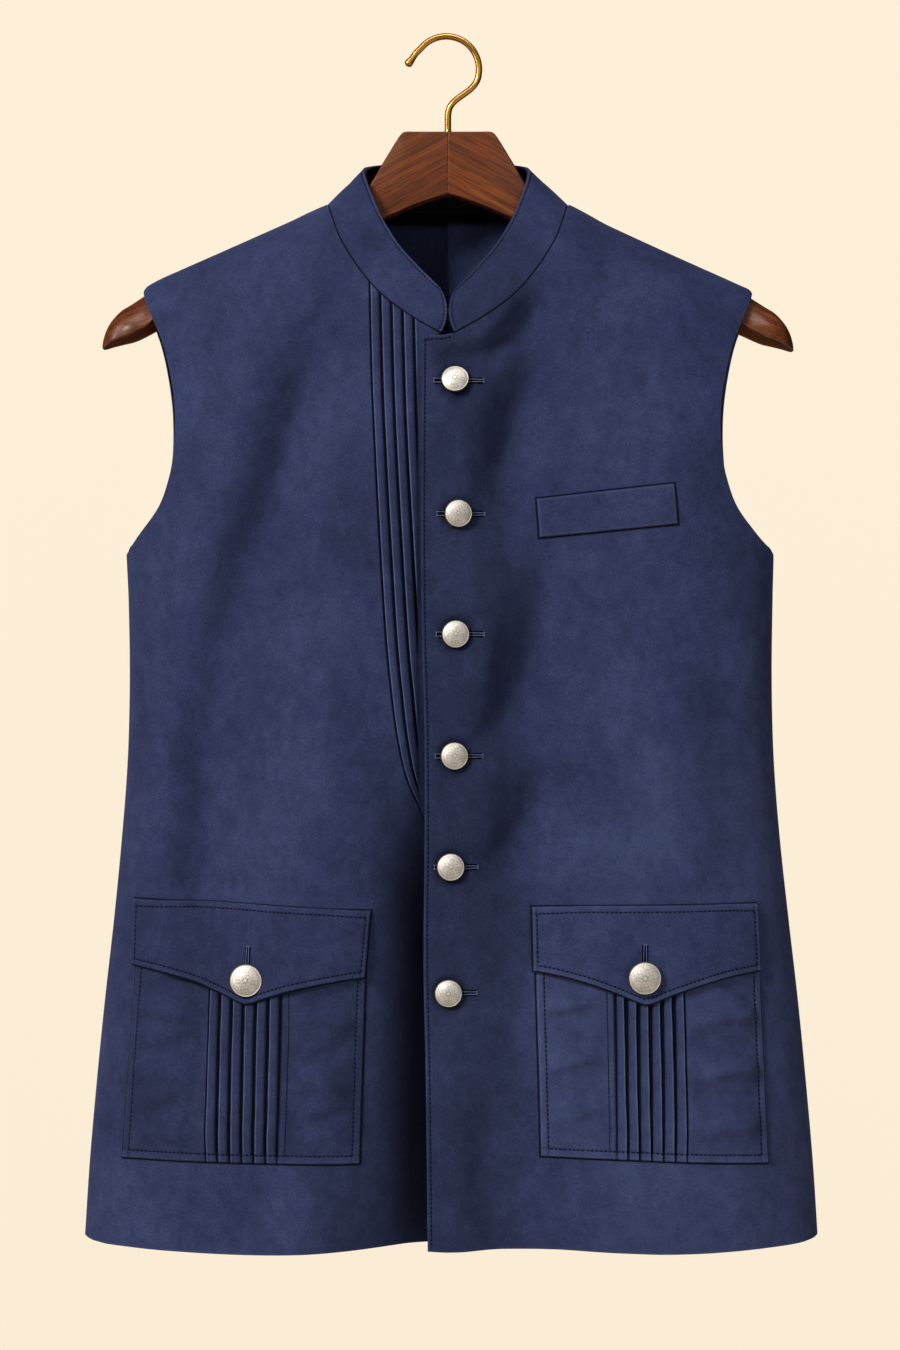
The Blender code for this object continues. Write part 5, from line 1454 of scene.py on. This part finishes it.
# %% [markdown]
# ## Buttonholes
# A worked buttonhole is a slit whose edges are covered by close silk stitches, with a bar across its
# outer end. The button pulls at one end of it, so what shows is the rest of the slit, narrowing to the
# bar. The stitches stand side by side round the slit: one bit of thread is repeated along each lip.

# %% Buttonholes
FRONT_HOLES = [  # x of both ends
    (-9.9, 24.3), (-7.9, 24.8), (-8.3, 24.5), (-9.0, 23.6), (-9.6, 20.3), (-3.0, 19.6),
]
# half width of the dark strip: the slit, with painted shade reaching out past the lips
HOLE_HALF = 2.1
LIP_ASIDE, LIP_SPREAD = 0.7, 0.7    # from the slit to each lip, and how much more at the button's end
LIP_STEP = 0.62
BAR_IN, BAR_HALF, BAR_POINTS = 0.6, 1.5, 9


def on_sheet(sheet, x, z, lift):
    """Points over a finished sheet, found by looking straight back at it, and the direction out of it."""
    tree = BVHTree.FromPolygons(sheet.points.reshape(-1, 3).tolist(), grid_faces(sheet.points)[1].tolist())
    hits = [tree.ray_cast(Vector((a, -400.0, b)), Vector(BACKWARD)) for a, b in zip(x, z)]
    places = np.array([hit[0] for hit in hits])
    outs = np.array([hit[1] * (-1 if hit[1].y > 0 else 1) for hit in hits])
    outs[:] = unit(outs.mean(axis=0))
    return places + lift * outs, outs


def buttonhole(name, ends, sheet):
    """A dark strip with pointed ends for the slit and the painted shade round its lips, silk bits along both
    its lips and a bar over each end.
    """
    steps = np.linspace(0, 1, 24)
    x, z = (between((ends[0][k], ends[1][k]), steps) for k in (0, 1))
    places, outs = on_sheet(sheet, x, z, 0.1)
    ahead = unit(np.gradient(places, axis=0))
    sides = np.cross(ahead, outs)
    from_end = np.minimum(steps, 1 - steps) * np.linalg.norm(places[-1] - places[0])
    reach = sides * (HOLE_HALF * np.clip(from_end / 0.8, 0.05, 1.0))[:, None]
    outer = np.stack([places + reach, places, places - reach], axis=1) + (outs * 0.3)[:, None, :]
    inner = outer - (outs * 0.7)[:, None, :]
    take_place(cloth_wall(f"{name}_slit", outer, inner, Sheet(outer, FORWARD), (SLIT_SHADE,)), "cloth")
    raised = places + outs * 0.4
    aside = (LIP_ASIDE + LIP_SPREAD * (1 - steps))[:, None]
    lips = [(raised + sides * sign * aside, outs) for sign in (1, -1)]
    for end, step in ((-1, -BAR_IN), (0, BAR_IN)):
        middle = raised[end] + ahead[end] * step
        bar = middle + sides[end] * np.linspace(-BAR_HALF, BAR_HALF, BAR_POINTS)[:, None]
        lips.append((bar, np.repeat(outs[:1], BAR_POINTS, axis=0)))
    thread_bits(f"{name}_silk", lips, CORD_THREAD, pitch=LIP_STEP, length=0.75, radius=0.3)


for n, ((x1, x2), (_, z)) in enumerate(zip(FRONT_HOLES, FRONT_BUTTONS), start=1):
    buttonhole(f"buttonhole_{n}", ((x1, z), (x2, z)), left_front)
for side, (x, z) in POCKET_BUTTONS.items():
    buttonhole(f"pocket_buttonhole_{side}", ((x, z - 4.0), (x + 0.6, z + 22.5)), flaps[side])

# %% [markdown]
# ## The hanger
# Each arm is one bar of walnut: square where the two are mitred together, then rounded and broader
# towards the shoulder, where its top follows the inside of the cloth, and tapered to a blunt tip. A
# cylinder could be bent to this, but stations with measured sections keep the flat face at the neck and
# the scooped underside. A grid is rolled up round the stations, its long edges are merged, and its ends
# are filled.

# %% Measured stations
ARM_STATIONS = [  # x, top, half depth, rounding of the top, low, scoop
    (0, -63.7, 8.2, 1.2, -106, 0.6), (0.4, -63.4, 8.5, 1.2, -106.3, 0.6), (4, -63.4, 8.5, 1.2, -107.2, 0.6),
    (10, -63.4, 8.5, 1.2, -109, 0.6), (22, -63.4, 8.5, 1.2, -113.3, 0.6),
    (28.5, -63.4, 8.5, 1.3, -116, 0.6), (31, -64.3, 8.5, 1.6, -117, 0.6),
    (33.6, -67.3, 8.5, 2, -118.2, 0.6), (43.5, -83.2, 8.5, 2.6, -122.6, 0.6),
    (53.5, -99.2, 8.5, 4, -127.4, 0.6), (66, -109.2, 9, 6, -134, 0.6), (76, -114.6, 9.6, 7, -138.6, 0.6),
]
UNDER_CLOTH = [  # x, half depth, height, scoop, how far the front lip rises, how far the top sinks
    (84, 10.5, 27, 1, 0, 0), (100, 12.5, 27, 2, 0, 0), (120, 15, 27, 5, 0, 0), (141, 17.5, 27, 8, 0, 0),
    (162, 20, 27, 11, 0.8, 0), (180, 21.5, 27, 13, 1.8, 0), (194, 21.5, 27, 13, 2.6, 0.6),
    (204, 20, 28, 10, 2, 2.2),
]
TIP_STATIONS = [  # x, top, half depth, rounding of the top, low, scoop, how far the front lip rises
    (214, -179.8, 20, 20, -203.2, 8, 1.4), (221.5, -184.7, 18.5, 18, -205.4, 7, 1.2),
    (228.5, -192.3, 15, 14, -207.9, 5, 0.8), (232.3, -199, 9.8, 9.5, -210, 3.2, 0.4),
    (234.2, -204.8, 5, 5, -210.9, 1.5, 0), (234.8, -208, 1.5, 1.6, -210.4, 0.4, 0),
]
ARM_LIP = 5.5
TIP_START, TIP_RUN = 212.0, 18.0     # where the ridge from the shoulder dies away to a round tip
CLOTH_END = 226.0                    # where the oval of the cloth's depth would close
TOP_POINTS = 25
UNDER_CLEAR = 2.9        # from the shoulder line down to the wood: the cloth's thickness and a little air
ARM_TO_ARM_STEPS = 6
print("stations:", len(ARM_STATIONS) + len(UNDER_CLOTH) + len(TIP_STATIONS))

# %% [markdown]
# ## Sections of an arm
# A section runs over the top of the bar and back along its underside, which has two lips and a scoop
# between. Under the cloth its top is the inside of the cloth, so that the shoulder rests on the wood all
# along.

# %% Sections of the arms
def underside(half_depth, low, scoop, tilt):
    lip = min(ARM_LIP, half_depth * 0.5)
    hollow = half_depth - lip
    y = [half_depth, half_depth - 0.3 * lip, hollow + 0.2 * lip, hollow, hollow * 0.75, hollow * 0.3]
    height = [0.6 / max(scoop, 0.6), 0.0, 0.0, 0.08, 0.72, 0.96]
    both = list(zip(y, height)) + [(-a, b) for a, b in reversed(list(zip(y, height)))]
    return [(a, low + scoop * b - tilt * a / half_depth) for a, b in both]


def section(x, half_depth, top_line, low, scoop, tilt=0.0):
    """The points round one station: its top from back to front, then its underside."""
    angles = np.radians(np.linspace(-90, 90, TOP_POINTS))
    y = half_depth * np.copysign(np.abs(np.sin(angles)) ** 0.7, angles)
    points = list(zip(y, top_line(y, 1 - np.cos(angles)))) + underside(half_depth, low, scoop, tilt)
    return np.array([(x, *point) for point in points])


def arm_sections(sign):
    drop = float(ridge_height(sign * SHOULDER_HALF) - ridge_height(-SHOULDER_HALF))
    found = []
    for x, top, half_depth, rounding, low, scoop in ARM_STATIONS:
        found.append(section(x, half_depth, lambda y, fall: top - rounding * fall, low, scoop))
    for x, half_depth, height, scoop, tilt, sunk in UNDER_CLOTH:
        ridge = float(ridge_height(sign * x))
        wide = float(read(DEPTH, ridge, 2)) * max(0.2, 1 - (x / CLOTH_END) ** OVAL_POWER) ** (1 / OVAL_POWER)

        def under_cloth(y, fall):
            across = np.minimum(1, (np.abs(y) + 0.6) / wide)
            return ridge - UNDER_CLEAR - sunk - SHOULDER_ROUND * (1 - oval(across, SHOULDER_POWER))

        found.append(section(x, half_depth, under_cloth, ridge - CLOTH - height, scoop, tilt))
    for x, top, half_depth, rounding, low, scoop, tilt in TIP_STATIONS:
        wedge = 0.6 + 0.4 * float(ease((x - TIP_START) / TIP_RUN))
        made = section(x, half_depth, lambda y, fall: top - rounding * fall**wedge, low, scoop, tilt)
        found.append(made + np.array([0, 0, drop]))
    return np.array(found)


print("points round a section:", len(arm_sections(1)[0]))

# %% [markdown]
# ## Rolling up a grid
# Once the sections are known, a plain grid is wrapped round them. Its first and last columns fall on one
# line and are merged, and its two open ends are filled.

# %% The hanger's arms
def rolled_grid(name, rings, finish):
    """A grid whose rows become closed rings: its long edges merge and its ends are filled."""
    stations, around = rings.shape[:2]
    bpy.ops.object.select_all(action="DESELECT")
    bpy.ops.mesh.primitive_grid_add(x_subdivisions=around, y_subdivisions=stations - 1, size=1.0)
    piece = bpy.context.object
    piece.name = piece.data.name = name
    wrapped = np.concatenate([rings, rings[:, :1]], axis=1)
    piece.data.vertices.foreach_set("co", (wrapped * MM).ravel())
    bpy.ops.object.mode_set(mode="EDIT")
    bpy.ops.mesh.select_all(action="SELECT")
    bpy.ops.mesh.remove_doubles(threshold=0.00001)
    bpy.ops.mesh.select_all(action="DESELECT")
    bpy.ops.mesh.select_mode(type="EDGE")
    bpy.ops.mesh.select_non_manifold()
    bpy.ops.mesh.edge_face_add()
    face_outward()
    piece.data.materials.append(finish)
    piece.data.shade_smooth()
    piece.data.set_sharp_from_angle(angle=math.radians(44))
    print(f"{name}: {len(piece.data.polygons)} faces")
    return piece


for side, sign in SIDES.items():
    sections = arm_sections(sign)
    keys = sections[:, 0, 0]
    runs = [np.linspace(a, b, ARM_TO_ARM_STEPS, endpoint=False) for a, b in zip(keys, keys[1:])]
    stations = np.concatenate(runs + [keys[-1:]])
    rings = np.stack([curve(keys, sections[:, k], stations) for k in range(sections.shape[1])], axis=1)
    rings[..., 0] *= sign
    take_place(rolled_grid(f"hanger_arm_{side}", rings, WALNUT[side]), "hanger_wood", f"hanger_arm_{side}")

# %% [markdown]
# ## The hook
# The hook is one round brass wire: straight where it is driven into the wood, bent over to the round
# crown, and upset to a small ball at its end. A round section is carried along the wire's middle line,
# turned square to it.

# %% The hook
WIRE = 4.4
HOOK_RADIUS, HOOK_MIDDLE = 22.4, (-1.2, -20.4)
HOOK_START = [
    (0, -66), (0, -62), (0, -57), (0, -52), (0.9, -46.8), (4.3, -42.2), (10.2, -37.8), (16, -33.3),
    (19.8, -28.4),
]
HOOK_END = [
    (-21.2, -8.6), (-23.4, -11.8), (-25, -14.2), (-26.3, -15.9), (-27.3, -17), (-28, -17.7), (-28.4, -18.1),
]
HOOK_END_SIZES = [1.0, 1.0, 1.1, 1.28, 1.22, 0.85, 0.2]
WIRE_SIDES = 28
WIRE_FOOT, FOOT_FROM, FOOT_HALF = 0.22, 2.0, 1.3    # the wire is a little thicker where it enters the wood
BENDING_PASSES = 6       # they even out the bends, as a bending tool does

angles = np.radians(np.linspace(-8, 145, 15))
crown = np.array(HOOK_MIDDLE) + HOOK_RADIUS * np.stack([np.cos(angles), np.sin(angles)], axis=1)
middle = np.concatenate([np.array(HOOK_START, float), crown, np.array(HOOK_END, float)])
lengths = lengths_along(middle)
sizes = np.concatenate([np.ones(len(middle) - len(HOOK_END)), HOOK_END_SIZES])
steps = np.linspace(0, lengths[-1], 130)
line = curve(lengths, middle, steps)
for _ in range(BENDING_PASSES):
    line[1:-1] = (line[:-2] + 2 * line[1:-1] + line[2:]) / 4
size = curve(lengths, sizes, steps) + WIRE_FOOT * bell((steps - FOOT_FROM) / FOOT_HALF)
ahead = unit(np.gradient(line, axis=0))
around = np.radians(np.arange(WIRE_SIDES) * 360 / WIRE_SIDES)
reach = (size * WIRE / 2)[:, None]
rings = np.stack([
    line[:, :1] + ahead[:, 1:] * reach * np.cos(around),
    np.sin(around) * reach,
    line[:, 1:] - ahead[:, :1] * reach * np.cos(around),
], axis=2)
take_place(rolled_grid("hook", rings, BRASS), "hook_brass", "hook")

# %% [markdown]


# %% [markdown]
# ## The studio
# The light is soft and even, as for a catalogue: one broad light high on the left, a weaker one on the
# right and a warm pale surround. The floor lies far below the hem, as it would under a jacket on a rail.

# %% The floor
FLOOR_Z, FLOOR_RADIUS = -1.75, 3.9
bpy.ops.object.select_all(action="DESELECT")
floor_place = (0, 0, FLOOR_Z)
bpy.ops.mesh.primitive_circle_add(vertices=96, radius=FLOOR_RADIUS, fill_type="NGON", location=floor_place)
floor = bpy.context.object
floor.name = "studio_floor"
bpy.ops.object.transform_apply(location=True, rotation=True, scale=True)
pale = Finish("pale studio floor", 0.9, Specular_IOR_Level=0.2)
speckle = pale.noise(pale.places["Object"], 6.0, 3.0)
pale.colour(pale.ramp(speckle, [(0.3, linear(232, 222, 202)), (0.7, linear(240, 230, 210))]))
floor.data.materials.append(pale.material)
floor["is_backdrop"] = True
print("floor:", floor.name, "at", FLOOR_Z, "m")

# %% [markdown]
# ## The surround
# The surround is a plain warm cream to look at. Cloth is lit by a dim, even one, while metal and varnish
# mirror a brighter one that darkens downward, as they would in a room with pale walls.

# %% The surround
CREAM_HIGH, CREAM_LOW = linear(254, 239, 216), linear(251, 236, 213)
SURROUND_LIGHT = linear(246, 240, 232)
CLOTH_LIGHT = 0.055      # the surround's brightness for cloth

world = bpy.data.worlds.new("warm studio surround")
bpy.context.scene.world = world
world.use_nodes = True
sky = Nodes(world.node_tree)
apart = sky.node("ShaderNodeSeparateXYZ", {"Vector": sky.places["Generated"]}).outputs
rays = sky.node("ShaderNodeLightPath", {}).outputs
cream = sky.mix(sky.spread(apart["Z"], -0.18, 0.12), CREAM_LOW, CREAM_HIGH)
ahead_and_up = sky.maths("SUBTRACT", apart["Z"], apart["Y"])
mirrored = sky.spread(ahead_and_up, -0.2, 1.4, 0.02, 0.5)    # metal and varnish see it brighter, darker below
brightness = sky.node("ShaderNodeMix", {0: rays["Is Glossy Ray"], 2: CLOTH_LIGHT, 3: mirrored}).outputs[0]
light_links = {"Color": (*SURROUND_LIGHT, 1), "Strength": brightness}
lit = sky.node("ShaderNodeBackground", light_links).outputs[0]
seen = sky.node("ShaderNodeBackground", {"Color": cream}).outputs[0]
both = sky.node("ShaderNodeMixShader", {0: rays["Is Camera Ray"], 1: lit, 2: seen}).outputs[0]
sky.tree.links.new(both, sky.tree.nodes["World Output"].inputs["Surface"])
print("surround:", world.name)

# %% [markdown]
# ## The lights
# A broad light high on the left gives the cloth its modelling, and weaker ones fill the shadows. Two
# narrow strips could be painted on the metal as highlights, but real ones move with the view, so they are
# lights too.

# %% Lights
AIM = Vector((0.0, 0.0, -0.42))
LIGHTS = [  # name, place, width, height, watts, colour; a strip shows only as shine, and "behind" never does
    ("key", (-2.6, -3.55, 1.9), 1.2, 1.2, 180, (1.0, 0.985, 0.96)),
    ("fill", (1.2, -3.2, 0.2), 1.8, 1.8, 12, (0.97, 0.985, 1.0)),
    ("top", (0.1, -0.4, 1.4), 1.2, 0.8, 5, (1.0, 0.99, 0.97)),
    ("behind", (-2.6, 3.0, 0.9), 1.0, 1.0, 56, (1.0, 0.99, 0.97)),
    ("bounce", (1.3, -1.3, -1.5), 1.6, 1.2, 6, (1.0, 0.97, 0.92)),
    ("left_strip", (-2.1, -0.95, 0.15), 0.5, 2.2, 42, (1.0, 0.99, 0.96)),
    ("overhead_strip", (0.0, -1.1, 1.7), 2.4, 0.5, 34, (1.0, 0.99, 0.96)),
]
for name, place, width, height, watts, colour in LIGHTS:
    towards = (AIM - Vector(place)).to_track_quat("-Z", "Y").to_euler()
    bpy.ops.object.light_add(type="AREA", location=place, rotation=towards)
    light = bpy.context.object
    light.name = f"studio_{name}"
    light.data.shape = "RECTANGLE"
    light.data.size, light.data.size_y = width, height
    light.data.energy = watts
    light.data.color = colour
    light.visible_diffuse = "strip" not in name
    light.visible_glossy = name != "behind"
bpy.context.scene.view_settings.view_transform = "Standard"
print("lights:", len(LIGHTS))

# %% [markdown]
# ## The camera
# The jacket is seen square on from the front, a little below its chest, through a long lens.

# %% Camera, sizes and the last line
CAMERA_BACK = 2.6
CAMERA_X, CAMERA_Z = 0.00136, -0.4323
SENSOR = 36.0
FRAME_HEIGHT = 1350 * 0.68e-3        # of what is seen at the hanger, in metres
camera_place = (CAMERA_X, -CAMERA_BACK, CAMERA_Z)
bpy.ops.object.camera_add(location=camera_place, rotation=(math.radians(90), 0, 0))
camera = bpy.context.object
camera.name = "catalogue_camera"
camera.data.sensor_width = SENSOR
camera.data.lens = SENSOR * CAMERA_BACK / FRAME_HEIGHT
bpy.context.scene.camera = camera

made_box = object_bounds()
grown = [[round((b - a) * 1000, 1) for a, b in zip(*pair)] for pair in zip(solid_box, made_box)]
print("grown by, in mm:", grown)
